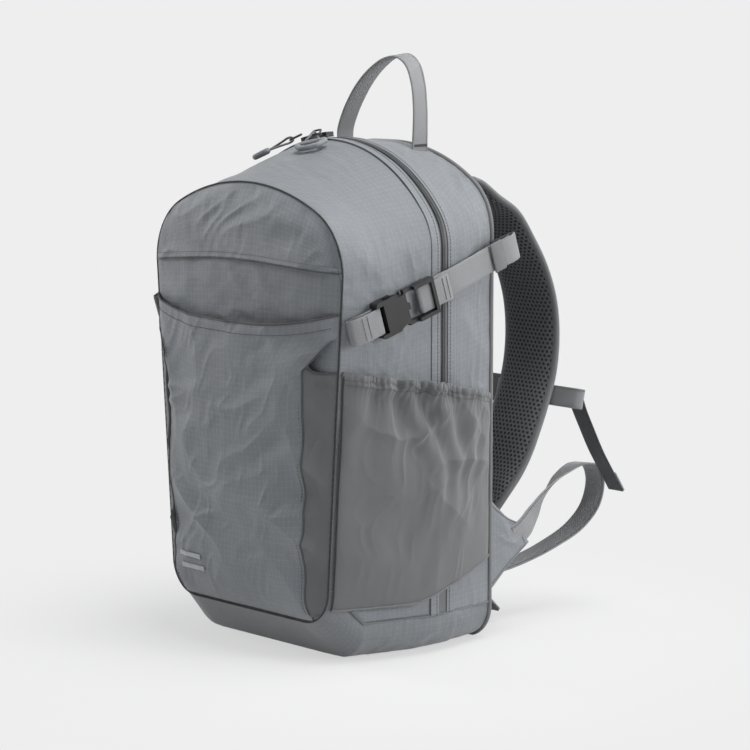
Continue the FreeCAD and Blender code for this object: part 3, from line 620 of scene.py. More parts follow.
# %% [markdown]
# The zipper is a nylon coil: two rows of small loops that lock together down the middle of the tape.
# Modelled as short crosswise blocks set close together, it catches the light the way a real coil does. A
# bump pattern would be cheaper, but it looks flat where the zipper turns over the crown.

# %% Zipper coil
coil_s = np.linspace(-0.49, 0.49, 700)
for label, y in (("rear", 23.2), ("front", 20.8)):
    loops = stitches(f"zipper_coil_{label}", bag(coil_s, y, 0.9), bag_out(coil_s, y), 1.15,
                     (0.8, 2.6, 1.5), 0.4)
    finish(loops, COIL, "pack", ["zipper_coil"])
finish(sweep("zipper_coil_core", bag(coil_s, 22.0, 0.7), circle(0.8, 6), bag_out(coil_s, 22.0)), COIL)
print("coil loops on both sides")

# %% [markdown]
# ## Front
# The front is a pillow inside the piped seam. How far a point stands out depends on its distance from that
# seam: it rises quickly, then levels off. The top panel is a flap of its own that ends in a lip, the middle
# panel shows as a strip below it, and the stash pocket stands out further, with stretch cloth at its sides.
# Sculpting would give the same form, but the distance rule can be changed in one place for all the panels.

# %% Front panels
SEAM = np.stack(outline(np.linspace(-1, 1, 721), FRONT_Y), -1)


def from_seam(x, z):
    """Distance of each (x, z) from the front seam: the smallest distance to the seam's own points."""
    spot = np.stack([x, z], -1).reshape(-1, 2)
    squares = (((block[:, None] - SEAM[None]) ** 2).sum(-1) for block in np.array_split(spot, 12))
    return np.concatenate([np.sqrt(square).min(1) for square in squares]).reshape(np.shape(x))


def half_width(z):
    """Half the front's width at a height."""
    right = SEAM[SEAM[:, 0] >= 0]
    order = np.argsort(right[:, 1])
    return np.interp(z, right[order, 1], right[order, 0])


def front_point(x, z, bulge, rim, lift=0.0):
    """y = seam - bulge * (1 - exp(-distance / rim)) - 10 * (1 - exp(-distance / 70)) - lift."""
    away = from_seam(x, z)
    out = bulge * (1 - np.exp(-away / rim)) + 10.0 * (1 - np.exp(-away / 70.0)) + lift
    return np.stack([x, -95.6 - out, z], -1)


def lip_z(a):
    """Height of the top panel's lip; a runs from -1 at the left seam to 1 at the right."""
    return 366.0 - 8.0 * np.abs(a) ** 1.6 + 2.0 * a


def hem_z(a):
    """Height of the stash pocket's hem: nearly level, and rising into the right and left seams."""
    return 309.0 + 14.0 * np.abs(a) ** 3


a, t = grid(-1, 1, 130, 0, 1, 60)
top_s = 0.305 * a
top_x, top_z = outline(top_s, np.full_like(a, FRONT_Y))
low_x, low_z = half_width(lip_z(a)) * a, lip_z(a)
x, z = low_x + (top_x - low_x) * t, low_z + (top_z - low_z) * t
away = from_seam(x, z)
lift = 3.0 * creases(x, z, 21, 36.0, 1.2) * np.clip(away / 16, 0, 1)
lift = lift + 2.2 * np.exp(-t * 7) * np.clip(away / 20, 0, 1)
lift = lift + 2.4 * noise(x / 11.0 + z / 40.0, z / 60.0, 5) * np.exp(-away / 26.0) * np.clip(away / 5, 0, 1)
lift = lift + 0.6 * noise(x / 6.0, z / 14.0, 4) * np.exp(-away / 8.0) * np.clip(away / 2, 0, 1)
top_panel = front_point(x, z, 8.0, 14.0, lift)
finish(cloth("front_top_cloth", top_panel, 1.2), RIPSTOP, "pack", ["front_top_panel", "front_lining"])
lip = front_point(low_x[:, 0], low_z[:, 0] - 0.4, 8.0, 14.0, lift[:, 0] - 0.2)
# a dark strip under the top panel's lip: painted shadow of the lip's fold
finish(sweep("front_lip_shadow_strip", lip, slab(1.7, 1.7, 0.5), (0, 0, 1)), SEAM_SHADE)
row = front_point(low_x[:, 0], low_z[:, 0] + 5.0, 8.0, 14.0, lift[:, 0] * 0.8 + 1.3)
finish(stitches("front_lip_stitches", row[6:-6], (0, -1, 0)), DARK_THREAD)

a, t = grid(-1, 1, 120, 0, 1, 120)
z = 40.0 + (lip_z(a) + 4.0 - 40.0) * t
x = half_width(z) * a
away = from_seam(x, z)
lift = 1.6 * creases(x, z, 23, 30.0, 0.4) * np.clip(away / 16, 0, 1)
lift = lift - 5.0 * np.clip((255.0 - z) / 30.0, 0, 1) * np.clip(away / 8.0, 0, 1)
finish(cloth("front_middle_cloth", front_point(x, z, 6.8, 14.0, lift), 1.2), RIPSTOP, "pack",
       ["front_middle_panel"])


def pocket_edge(z):
    """Half width of the ripstop part of the stash pocket: out to the seam at the hem, then slanting in."""
    full = half_width(z)
    share = np.clip((z - 272.0) / 32.0, 0, 1)
    return np.minimum(97.0 - 6.0 * np.clip((250 - z) / 200, 0, 1) + (full - 97.0) * share, full)


def pocket_out(x, z):
    """How far the filled pocket stands out from the seam's plane, with its slack folds."""
    away = from_seam(x, z)
    body = 15.0 * (1 - np.exp(-away / 17.0)) + 15.0 * (1 - np.exp(-away / 70.0))
    body = body - 2.5 * np.clip((z - 270) / 40, 0, 1) * np.clip(away / 30, 0, 1)
    folds = 4.4 * creases(x, z, 31, 48.0, 0.9) * np.clip(away / 22, 0, 1)
    return body + folds


a, t = grid(-1, 1, 190, 0, 1, 220)
z = 40.0 + (hem_z(a) - 40.0) * t
edge = pocket_edge(z)
x = edge * a
ripple = 0.5 * noise(z / 6.0, x / 9.0, 8) * np.exp(-(1 - np.abs(a)) * 12)
stash = np.stack([x, -95.9 - pocket_out(x, z) - ripple, z], -1)
finish(cloth("stash_pocket_cloth", stash, 1.2), RIPSTOP, "pack", ["stash_pocket"])
# the pocket's real hem, coloured dark as painted shadow in its fold
hem = stash[:, -1] + np.array([0, -0.3, 0.2])
finish(sweep("stash_pocket_hem_shadow", hem, slab(1.7, 1.7, 0.5), (0, 0, 1)), SEAM_SHADE)
finish(stitches("stash_hem_stitches", stash[4:-4, -9] + np.array([0, -0.2, 0]), (0, -1, 0)), DARK_THREAD)
for side, label in SIDES:
    b, t = grid(0, 1, 26, 0, 1, 160)
    high = 276.0 - 5.0 * b - 3.5 * np.sin(np.pi * b)
    z = 44.0 + (high - 44.0) * t
    inner, outer = pocket_edge(z), half_width(z)
    x = side * (inner + (outer - inner) * b)
    gather = 1.2 * np.sin(z / 4.2 + 3 * noise(z / 30, b * 2, 6)) * np.exp(-(1 - t) * 9) * np.sin(np.pi * b)
    out = pocket_out(np.abs(x), z) - 2.2 * np.sin(np.pi * b) + gather
    out = np.where(b < 0.04, pocket_out(x, z) - 0.2, out)
    side_cloth = np.stack([x, -95.8 - np.maximum(out, 0.0), z], -1)
    finish(cloth(f"stash_stretch_{label}", side_cloth, 1.0), STRETCH, "pack",
           ["stash_stretch_sides"] if side > 0 else [])
    # the stretch cloth's real hem, coloured dark as painted shadow in its fold
    finish(sweep(f"stash_stretch_hem_shadow_{label}", side_cloth[:, -1], slab(1.9, 1.9, 0.5), (0, 0, 1)), SEAM_SHADE)
    # the real seam at the pocket's edge, coloured dark as painted shadow in its fold
    seam_z = np.linspace(46, 300, 200)
    seam_x = side * pocket_edge(seam_z)
    seam = np.stack([seam_x, -96.5 - pocket_out(seam_x, seam_z), seam_z], -1)
    finish(sweep(f"stash_edge_seam_shadow_{label}", seam, slab(1.3, 0.9, 0.3), (0, -1, 0)), SEAM_SHADE)
    row = seam + np.array([-side * 3.6, -0.4, 0])
    finish(stitches(f"stash_edge_stitches_{label}", row, (0, -1, 0)), DARK_THREAD)
for k, (cx, cz, w) in enumerate(((-61.0, 82.0, 17.0), (-57.0, 71.0, 17.0))):
    bx = np.linspace(cx - w, cx + w, 30)
    bar = np.stack([bx, -97.0 - pocket_out(bx, np.full(30, cz)), np.full(30, cz)], -1)
    finish(sweep(f"reflective_bar_{k + 1}", bar, slab(4.6, 0.8, 1.8), (0, -1, 0)), REFLECTIVE)
print(len(made), "pieces after the front")

# %% [markdown]
# ## Side pockets
# Each side pocket is stretch knit sewn in at its front, back and bottom, with elastic in its hem. The
# elastic pulls the hem in, so the cloth below it falls into soft upright folds. The folds are one wave
# field that is strongest near the hem and fades towards the seams. A cloth simulation would gather it too,
# but a formula gives the same folds on every run.

# %% Side pockets


def side_x(y, z):
    """Half the bag's width at a depth and height, on the straight part of its side."""
    s = np.linspace(BREAKS[1], BREAKS[3], 60)
    grid_x, grid_z = outline(s[:, None], np.linspace(FRONT_Y, BACK_Y, 90)[None])
    level = np.clip((y - FRONT_Y) / (BACK_Y - FRONT_Y) * 89, 0, 89)
    low = np.floor(level).astype(int).clip(0, 88)
    part = level - low
    out = np.empty(np.shape(y))
    for k in range(89):
        here = low == k
        if here.any():
            a = np.interp(z[here], grid_z[::-1, k], grid_x[::-1, k])
            b = np.interp(z[here], grid_z[::-1, k + 1], grid_x[::-1, k + 1])
            out[here] = a + (b - a) * part[here]
    return out


def side_pocket_point(t, q, sign):
    """t runs from the front seam to the rear seam and q from the floor to the hem."""
    y = -92.0 + 180.0 * t
    hem = 269.0 - 20.0 * t ** 0.7 - 16.0 * t ** 2.2
    hem = hem + 1.4 * np.sin(2 * np.pi * (t * 11 + noise(t * 5, 0 * t, 69))) * np.sin(np.pi * t)
    floor_z = 52.0 + 30.0 * np.clip((t - 0.45) / 0.55, 0, 1)
    z = floor_z + (hem - floor_z) * q
    swell = np.sin(np.pi * np.clip(t, 0, 1)) ** 0.55
    reach = 5.0 + 8.5 * np.clip(q * 1.25, 0, 1) ** 0.8
    folds = 4.0 * np.sin(2 * np.pi * (t * 5.5 + 0.8 * noise(q * 1.8, t * 2.0, 61))) * q ** 1.6
    folds = folds + 9.0 * creases(t * 180, q * 200, 63, 52.0, 1.2, 2.8) * (0.45 + 0.55 * q)
    fine = 0.9 * np.sin(2 * np.pi * (t * 34 + noise(q * 4, t * 9, 67))) * np.exp(-(1 - q) * 16)
    lift = 1.3 + swell * (reach + folds + fine)
    return np.stack([sign * (side_x(y, z) + np.maximum(lift, 0.6)), y, z], -1)


for side, label in SIDES:
    t, q = grid(0, 1, 210, 0, 1, 170)
    p = side_pocket_point(t, q, side)
    finish(cloth(f"side_pocket_cloth_{label}", p, 1.0, (0.0, 0.0, 160.0)), STRETCH, "pack",
           [f"side_pocket_{label}"])
    finish(sweep(f"side_pocket_hem_{label}", p[:, -1] + np.array([-side * 0.4, 0, 0]), slab(3.2, 6.5, 1.2),
                 (0, 0, 1)), STRETCH, "pack", ())
    row = p[3:-3, -6] + np.array([side * 0.35, 0, -1.5])
    finish(stitches(f"side_pocket_stitches_{label}", row, (side, 0, 0), 2.6, (1.9, 0.5, 0.3)), DARK_THREAD)
    floor_seam = p[:, 0] + np.array([side * 0.2, 0, 0])
    finish(sweep(f"side_pocket_floor_seam_{label}", floor_seam, slab(2.0, 1.8, 0.5)), BINDING)
    finish(sweep(f"side_pocket_front_seam_{label}", p[1, :] + np.array([side * 0.3, -0.4, 0]), circle(0.9, 6),
                 (1, 0, 0)), PIPING)
print("side pockets with", 210 * 170, "points each")

# %% [markdown]
# ## Rear seam and back panel
# A folded tape binds the rear seam all the way round. Inside it the back is a foam sheet under spacer mesh,
# with two long pads and a low cross pad that keep the load off the spine. Each pad is a crowned form whose
# height falls off towards its sewn edge.

# %% Back
tape_s = np.linspace(-1, 1, 600, endpoint=False)
binding_path = bag(tape_s, 91.2, -1.0)
binding_path[:, 2] = np.maximum(binding_path[:, 2], 3.6)
finish(sweep("rear_binding_tape", binding_path, slab(7.0, 4.2, 1.6), (0, 1, 0), closed=True), BINDING, "pack",
       ["rear_seam_binding"])
finish(stitches("rear_binding_stitches", bag(np.linspace(-0.99, 0.99, 600), 91.2, 1.15),
                bag_out(np.linspace(-0.99, 0.99, 600), 90.0), 3.0), DARK_THREAD)
a, t = grid(-1, 1, 120, 0.004, 1, 160)
back_outline_x, back_outline_z = outline(np.linspace(0, 1, 400), np.full(400, BACK_Y))
z = 2.0 + (461.0 - 2.0) * t
half = np.interp(z, back_outline_z[::-1], back_outline_x[::-1]) - 2.6
edge = np.clip(np.minimum(half * (1 - np.abs(a)), np.minimum(z, 464 - z)) / 14.0, 0, 1)
p = np.stack([half * a, 89.4 + 1.6 * edge ** 0.6 + 0.5 * edge * creases(half * a, z, 71, 60.0), z], -1)
finish(cloth("back_mesh_face", p, 1.4, (0.0, 0.0, 240.0)), MESH, "pack",
       ["back_mesh_cover", "back_foam", "back_lining"])


def back_pad(name, x_range, z_range, crown, nodes=()):
    """Crowned pad: height = crown * (1 - a^4)^0.5 * (1 - b^8)^0.5, with a sewn channel along its middle."""
    a, b = grid(-1, 1, 60, -1, 1, 130)
    bend = 1 - 0.035 * np.abs(a) ** 3
    x = np.mean(x_range) + a * (x_range[1] - x_range[0]) / 2 * (1 - 0.05 * np.abs(b) ** 6)
    z = np.mean(z_range) + b * (z_range[1] - z_range[0]) / 2 * bend
    rise = crown * np.sqrt(np.clip(1 - np.abs(a) ** 4, 0, 1)) * np.sqrt(np.clip(1 - np.abs(b) ** 8, 0, 1))
    rise = rise - 2.2 * np.exp(-(a / 0.07) ** 2) * (rise > 2) + 0.5 * creases(x, z, 73, 40.0) * (rise / crown)
    p = np.stack([x, 90.6 + np.maximum(rise, 0.0), z], -1)
    one = finish(cloth(name, p, 1.6, (0.0, 0.0, 200.0)), MESH, "pack", nodes)
    return one


back_pad("back_pad_right_cover", (15.0, 82.0), (70.0, 342.0), 10.4, ["back_pads"])
back_pad("back_pad_left_cover", (-82.0, -15.0), (70.0, 342.0), 10.4)
back_pad("lumbar_pad_cover", (-84.0, 84.0), (30.0, 62.0), 8.2)
print("back panel with three pads")

# %% [markdown]
# ## Side compression straps
# Grey webbing runs from the front seam, through a side-release buckle, to the rear seam. The buckle halves
# are the solid model's own, because they have to fit each other. The webbing is a flat section carried
# along a smooth path in the buckle's own directions. A curve with a bevel would do as well, but its own
# arrays give UVs in metres for the weave.

# %% Side straps
SIDE_ORIGIN = np.array([143.2, -32.0, 326.0])
SIDE_U = unit(np.array([7.0, 117.0, 38.0]))
SIDE_W = unit(np.array([1.0, 0, 0]) - SIDE_U * SIDE_U[0])
SIDE_V = np.cross(SIDE_W, SIDE_U)


def at_side(points, sign):
    """Buckle's own (along, out) or (along, across, out) to the bag's frame, mirrored where sign is -1."""
    p = np.asarray(points, float)
    p = p if p.shape[1] == 3 else np.stack([p[:, 0], 0 * p[:, 0], p[:, 1]], -1)
    world = SIDE_ORIGIN + p[:, :1] * SIDE_U + p[:, 1:2] * SIDE_V + p[:, 2:] * SIDE_W
    return world * np.array([sign, 1, 1])


def bar_turn(x, r, start, end, steps=14):
    """Points on an arc round a bar."""
    a = np.radians(np.linspace(start, end, steps))
    return np.stack([x + r * np.cos(a), r * np.sin(a)], -1)


for side, label in SIDES:
    out = SIDE_W * np.array([side, 1, 1])
    flat, narrow = slab(25.0, 1.5, 0.6), slab(24.6, 1.4, 0.6)
    main = curve([(39, -4.4), (52, -5.2), (66, -4.6), (90, -6.6), (112, -9.0), (126, -9.6), (135, -9.0),
                  (141, -9.4), (146, -11.0)], 90)
    finish(sweep(f"side_strap_{label}", at_side(main, side), flat, out), WEBBING, "pack",
           ["side_strap_webbing"] if side > 0 else [])
    keeper = at_side([(118, -7.2), (119, -6.6), (131, -7.2), (132, -8.0)], side)
    finish(sweep(f"side_strap_keeper_{label}", keeper, slab(28.0, 2.4, 1.0), out), BINDING)
    wing = at_side(curve([(133, -8.0), (141, -7.2), (148, -8.4), (153, -10.8), (154, -13.2)], 30), side)
    finish(sweep(f"side_strap_wing_{label}", wing, flat, out), WEBBING, "pack", ())
    # the wing's underside: the same webbing painted darker as shade
    under = at_side(curve([(153.5, -14.0), (147, -14.8), (138, -15.4), (128, -17.0)], 30), side)
    finish(sweep(f"side_strap_wing_under_{label}", under, flat, out), SHADED_WEBBING)
    fold = np.concatenate([[(54, 3.3), (44, 2.9), (30, 2.7), (24, 2.65)], bar_turn(19.6, 2.6, 90, 270),
                           [(24, -2.65), (36, -2.9), (54, -2.4)]])
    finish(sweep(f"side_strap_fold_cloth_{label}", at_side(fold, side), narrow, out), WEBBING,
           f"side_male_{label}", [f"side_strap_fold_{label}"])
    stub = np.concatenate([[(-64, -4.0), (-60, 0.6), (-50, 2.6), (-42, 2.9), (-32, 2.9)],
                           bar_turn(-31.8, 2.9, 90, -90), [(-32, -2.9), (-44, -2.9), (-64, -4.6)]])
    finish(sweep(f"side_strap_stub_cloth_{label}", at_side(stub, side), narrow, out), WEBBING, "pack",
           ["side_strap_stubs"] if side > 0 else [])
    for k, x in enumerate((-46.0, -52.0, 46.0, 51.0)):
        row = at_side([(x, v, 3.75 if k < 2 else 4.1) for v in np.linspace(-10.5, 10.5, 16)], side)
        finish(stitches(f"side_strap_bar_{label}_{k + 1}", row, out, 2.4), DARK_THREAD,
               "pack" if k < 2 else f"side_male_{label}")

for node, piece in frame["nodes"].items():
    for words, material in ((("buckle", "sternum_prong"), PLASTIC), (("zip_slider",), SLIDER)):
        if any(word in node for word in words):
            piece.data.materials.clear()
            piece.data.materials.append(material)
print(len(made), "pieces after the side straps")

# %% [markdown]
# ## Haul loop
# The carry handle is one length of webbing sewn into the rear seam at both ends. Its lower ends stay with
# the bag and the loop above tips; here the whole loop is one mesh, baked in place and attached to no body.
# Two pieces with a cut between them would be simpler, but they would part when the loop tips.

# %% Haul loop
loop_points = [(-51.5, 74.5, 458), (-51.8, 74.3, 466), (-51.2, 74, 475), (-45.0, 73.5, 489), (-36.0, 73, 503),
               (-22.0, 72.5, 520), (-4.0, 72, 535), (15.0, 72, 545), (31.0, 73, 546.5), (42.0, 74, 539),
               (49.0, 74.5, 522), (52.0, 74.5, 500), (52.3, 74.3, 478), (51.8, 74.3, 465), (51.3, 74.5, 457)]
loop_path = curve(loop_points, 170)
width_way = np.stack([0.12 * np.sin(np.linspace(0, 2 * np.pi, 170)), np.ones(170),
                      0.10 * np.sin(np.linspace(0, 3.0, 170))], -1)
loop_up = np.cross(unit(width_way), unit(np.gradient(loop_path, axis=0)))
haul = sweep("haul_loop_webbing", loop_path, slab(20.0, 2.2, 0.9, 4), loop_up)
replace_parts(finish(haul, WEBBING, None, ()), "haul_loop", "haul_loop_feet")
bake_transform(haul)
for side, label in SIDES:
    tack = np.stack([np.full(14, side * 53.0), np.linspace(66, 82.5, 14), np.full(14, 463.5)], -1)
    finish(stitches(f"haul_bar_tack_{label}", tack, (side, 0, 0), 1.3, (1.0, 2.6, 0.5)), DARK_THREAD)
print("haul loop", round(float(loop_path[:, 2].max() - 470)), "mm above the bag")

# %% [markdown]
# ## Shoulder straps
# Each strap is foam between an open mesh that lies against the wearer and a plain woven cover, and a folded
# tape binds both edges. Its section is a lens: thickness = full * (1 - across^4)^0.5. The centreline bows
# away from the back, as a strap does when its webbing is slack.

# %% Padded straps
PAD = np.array([(-1.5, 437.0), (5.0, 434.0), (16.5, 430.0), (38.0, 415.5), (63.5, 399.5), (84.0, 374.0),
                (103.5, 343.5), (116.0, 311.0), (120.0, 276.0), (116.0, 240.0), (103.5, 205.6), (90.0, 177.0),
                (75.0, 147.4), (60.0, 126.0), (47.0, 107.5)])
pad_line = curve(PAD, 240)
pad_along = unit(np.gradient(pad_line, axis=0))
pad_n = np.stack([-pad_along[:, 1], pad_along[:, 0]], -1)
if pad_n[120, 0] < 0:
    pad_n = -pad_n
pad_t = np.linspace(0, 1, 240)
pad_half = 31.5 - 5.0 * np.exp(-pad_t * 16) - 13.5 * np.clip((pad_t - 0.80) / 0.20, 0, 1) ** 1.5
pad_thick = 6.0 * (0.35 + 0.65 * np.clip(pad_t * 14, 0, 1)) * (0.4 + 0.6 * np.clip((1 - pad_t) * 12, 0, 1))


def pad_point(sign, a, k, height):
    """A point across the strap: a from -1 to 1 over its width, k along it, height out of its middle plane."""
    centre = pad_line[k]
    n = pad_n[k]
    x = sign * (70.0 + a * pad_half[k])
    return np.stack([x, 90.0 + centre[..., 0] + n[..., 0] * height, centre[..., 1] + n[..., 1] * height], -1)


for side, label in SIDES:
    a, k = np.meshgrid(np.linspace(-1, 1, 44), np.arange(240), indexing="ij")
    full = pad_thick[k] * np.sqrt(np.clip(1 - np.abs(a) ** 4, 0, 1))
    run = k * 1.75
    dents = 0.5 * creases(a * 30, run, 81, 34.0, 0.2) * (1 - a ** 4)
    inner = pad_point(side, a, k, -full - dents)
    uv = np.stack([a * 31.5, run], -1)
    mesh_face = cloth(f"strap_mesh_face_{label}", inner, 1.2, (side * 70.0, 500.0, 270.0), uv)
    finish(mesh_face, MESH, "shoulder_straps", [f"strap_mesh_lining_{label}", f"strap_foam_{label}"])
    cover = cloth(f"strap_cover_face_{label}", pad_point(side, a, k, full + dents * 0.6), 1.2,
                  (side * 70.0, 60.0, 270.0), uv)
    finish(cover, PAD_COVER, "shoulder_straps", [f"strap_cover_{label}"])
    rows = np.arange(240)
    for edge, word in ((-1.0, "inner"), (1.0, "outer")):
        rim = pad_point(side, np.full(234, edge * 1.005), rows[6:], np.zeros(234))
        finish(sweep(f"strap_edge_{word}_{label}", rim, slab(5.6, 8.4, 2.2), (1, 0, 0)), BINDING,
               "shoulder_straps", ())
    deep = pad_thick[rows[30:232]] + 1.5
    daisy = pad_point(side, np.zeros(202), rows[30:232], deep)
    n3 = np.stack([np.zeros(202), pad_n[30:232, 0], pad_n[30:232, 1]], -1)
    finish(sweep(f"strap_daisy_{label}", daisy, slab(20.0, 1.6, 0.7), n3), WEBBING, "shoulder_straps",
           [f"strap_daisy_webbing_{label}"])
    for j, spot in enumerate((8, 48, 88, 128, 168, 196)):
        tack = daisy[spot] + np.linspace(-8.5, 8.5, 14)[:, None] * np.array([1.0, 0, 0])
        bar = stitches(f"strap_tack_{label}_{j + 1}", tack, n3[spot], 1.3, (1.0, 2.4, 0.5), 0.85)
        finish(bar, DARK_THREAD, "shoulder_straps")
print("straps", round(float(pad_line[:, 0].max())), "mm behind the back at most")

# %% [markdown]
# ## Ladder locks, tabs and lower webbing
# Webbing leaves a triangular tab in the lower rear seam, makes a slack loop behind the bag and passes
# through a ladder lock under the padded strap, and its loose end hangs below. It turns from upright at the
# tab to flat at the lock, so its width direction is carried along the path as well. A single up direction
# for the whole path, as on the side straps, would twist it at the turn.

# %% Lower webbing


def web(name, path, width_way, section):
    """Webbing whose width points along width_way at each point of its path."""
    along = unit(np.gradient(path, axis=0))
    wide = np.broadcast_to(np.asarray(width_way, float), path.shape)
    return sweep(name, path, section, np.cross(wide, along))


def strap_web(name, path, width_way, section, material=WEBBING, nodes=()):
    """Webbing that moves with the shoulder straps."""
    return finish(web(name, path, width_way, section), material, "shoulder_straps", nodes)


def ways(points, steps):
    """Width directions eased along a path, at even shares of its length."""
    return unit(pick(np.linspace(0, 1, steps), np.linspace(0, 1, len(points)), points))


def rounded_ring(low, high, half, radius, steps):
    """A rounded rectangle's outline, (along, across, 0): corner circles centred at low, high and half."""
    ring = []
    for x, y, start in ((high, half, 0), (low, half, 90), (low, -half, 180), (high, -half, 270)):
        turn = np.radians(np.linspace(0, 90, steps)) + math.radians(start)
        ring.append(np.stack([x + radius * np.cos(turn), y + radius * np.sin(turn), 0 * turn], -1))
    return np.concatenate(ring)


LOCK_AT = np.array([70.0, 121.0, 84.0])
LOCK_U = unit(np.array([0.0, -28.0, -42.0]))
LOCK_W = unit(np.array([0.0, 1.0, 0.0]) - LOCK_U * LOCK_U[1])
LOCK_V = np.cross(LOCK_W, LOCK_U)
LOOP = np.array([(124, 130, 91), (123, 146, 99), (116, 166, 109), (107, 192, 124), (99, 222, 138),
                 (95, 250, 145), (94, 270, 141), (93, 278, 124), (92, 272, 101), (90, 252, 82),
                 (86, 222, 68), (81, 188, 57), (76, 152, 50), (72, 128, 50), (70, 112, 58)])
LOOP_WIDE = np.array([(0.1, -0.55, 0.8), (0.1, -0.5, 0.85), (0.35, -0.35, 0.8), (0.7, -0.2, 0.6),
                      (0.95, -0.05, 0.3), (1, 0, 0.1), (1, 0, 0.05), (1, 0.05, 0), (1, 0.05, 0), (1, 0.05, 0),
                      (1, 0, 0), (1, 0, 0), (1, 0, 0), (1, 0, 0), (1, 0, 0)])
TAIL = np.array([(70, 105, 66), (70, 110, 58), (70.5, 117, 45), (72, 126, 33), (74, 138, 22), (75, 149, 11)])
for side, label in SIDES:
    m = np.array([side, 1, 1])
    a, b = grid(0, 1, 40, 0, 1, 40)
    low, high = np.array([130.5, 91.5, 46.0]), np.array([130.5, 91.5, 134.0])
    tip_low, tip_high = np.array([123.0, 152.0, 84.0]), np.array([123.0, 135.0, 106.0])
    edge_in = low + (high - low) * b[..., None]
    edge_out = tip_low + (tip_high - tip_low) * b[..., None]
    tab = edge_in + (edge_out - edge_in) * a[..., None]
    tab[..., 0] += 1.6 * np.sin(np.pi * a) * creases(a * 60, b * 70, 91, 30.0) + 1.5 * np.sin(np.pi * a)
    tab[..., 2] -= 3.5 * np.sin(np.pi * a) * (2 * b - 1)
    tab = tab * m
    finish(cloth(f"corner_tab_cloth_{label}", tab, 2.2, (0.0, 110.0, 90.0)), RIPSTOP, "pack",
           ["corner_tabs"] if side > 0 else [])
    for word, row in (("upper", tab[2:-2, -3]), ("lower", tab[2:-2, 2]), ("tip", tab[-4, 3:-3])):
        row = row + np.array([side * 0.2, 0, 0])
        finish(stitches(f"corner_tab_stitches_{word}_{label}", row, (side, 0, 0), 2.8), DARK_THREAD)
    loop_line = curve(LOOP * m, 200)
    wide = ways(LOOP_WIDE * m, 200)
    loop_web = web(f"lower_webbing_{label}", loop_line, wide, slab(24.5, 1.6, 0.7))
    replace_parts(finish(loop_web, WEBBING, None, ()), f"loop_webbing_{label}")
    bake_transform(loop_web)
    tail_line = curve(TAIL * m, 60)
    # the loose tail: the same webbing painted darker as shade
    strap_web(f"lower_tail_{label}", tail_line, (side, 0, 0), slab(24.5, 1.6, 0.7), SHADED_WEBBING)
    end_line = tail_line[44:] + np.array([0, 1.1, 1.5])
    strap_web(f"lower_tail_fold_{label}", end_line, (side, 0, 0), slab(24.8, 1.9, 0.7))

    def at_lock(points):
        """(along, across, out) of a ladder lock to the bag's frame, on this side."""
        p = np.asarray(points, float)
        return (LOCK_AT + p[:, :1] * LOCK_U + p[:, 1:2] * LOCK_V + p[:, 2:] * LOCK_W) * m

    ring = at_lock(rounded_ring(3.5, 26.5, 12.3, 2.6, 7))
    finish(sweep(f"ladder_frame_{label}", ring, slab(4.2, 4.6, 1.4), LOCK_W * m, closed=True), PLASTIC,
           "shoulder_straps", [f"ladder_lock_{label}"])
    for j, x in enumerate((11.0, 19.5)):
        rod = at_lock([(x, v, 0) for v in np.linspace(-14.5, 14.5, 12)])
        finish(sweep(f"ladder_bar_{label}_{j + 1}", rod, slab(3.6, 3.4, 1.2), LOCK_W * m), PLASTIC,
               "shoulder_straps", ())
    r = 3.2  # radius of the holder's turn round the bar
    hold = np.concatenate([[(-24, r + 0.6), (-10, r)], bar_turn(1.6, r, 90, -90), [(-10, -r), (-24, -r)]])
    hold = at_lock(np.stack([hold[:, 0], 0 * hold[:, 0], hold[:, 1]], -1))
    strap_web(f"lock_holder_{label}", hold, (side, 0, 0), slab(24.6, 1.5, 0.6))
print(len(made), "pieces after the lower webbing")

# %% [markdown]
# ## Chest strap
# A narrower strap joins the two shoulder straps. It is clipped shut, and its spare length folds into a loop
# on the right strap and hangs as a tail with a stitched end; the tail is painted darker as shade. It uses the
# same webbing function as the lower straps, in the chest buckle's own directions.

# %% Chest strap
CHEST = np.array([-3.0, 213.3, 217.0])
CHEST_OUT = np.array([0.0, 0.973, -0.229])
CHEST_UP = np.array([0.0, 0.229, 0.973])


def at_chest(points):
    """(along, out) in the chest buckle's frame to the bag's frame."""
    p = np.asarray(points, float)
    return CHEST + p[:, :1] * np.array([1.0, 0, 0]) + p[:, 1:2] * CHEST_OUT


right_run = curve([(24, -2.4), (31, -3.6), (40, -5.0), (60, -5.2), (90, -5.2), (112, -5.2), (126, -4.6),
                   (134, -2.4), (137, 0.8), (133, 4.0), (124, 4.6), (108, 1.6), (97, -2.4)], 140)
left_run = curve([(-26, -2.6), (-34, -4.0), (-46, -5.2), (-70, -5.2), (-98, -5.2)], 60)
narrow = slab(19.6, 1.5, 0.6)
strap_web("chest_webbing_right", at_chest(right_run), CHEST_UP, narrow, nodes=["sternum_webbing_right"])
strap_web("chest_webbing_left", at_chest(left_run), CHEST_UP, narrow, nodes=["sternum_webbing_left"])
for side, label in SIDES:
    keeper = at_chest([(side * x + 3.0, -6.4) for x in (60.0, 62.0, 78.0, 80.0)])
    finish(web(f"chest_keeper_{label}", keeper + CHEST_OUT * 2.6, CHEST_UP, slab(24.0, 3.6, 1.5)), PLASTIC,
           "shoulder_straps", ())
tail_line = curve([(124, 214.5, 219), (123, 221, 206), (122.5, 232, 187), (122, 247, 162), (122, 263, 139),
                   (122, 277, 119)], 80)
# the hanging tail: the same webbing painted darker as shade
strap_web("chest_tail", tail_line, (1, 0, 0), narrow, SHADED_WEBBING)
end_line = tail_line[64:] + np.array([0, 1.2, 1.0])
strap_web("chest_tail_fold", end_line, (1, 0, 0), slab(19.9, 1.8, 0.7))
print("chest strap with its loop and tail")

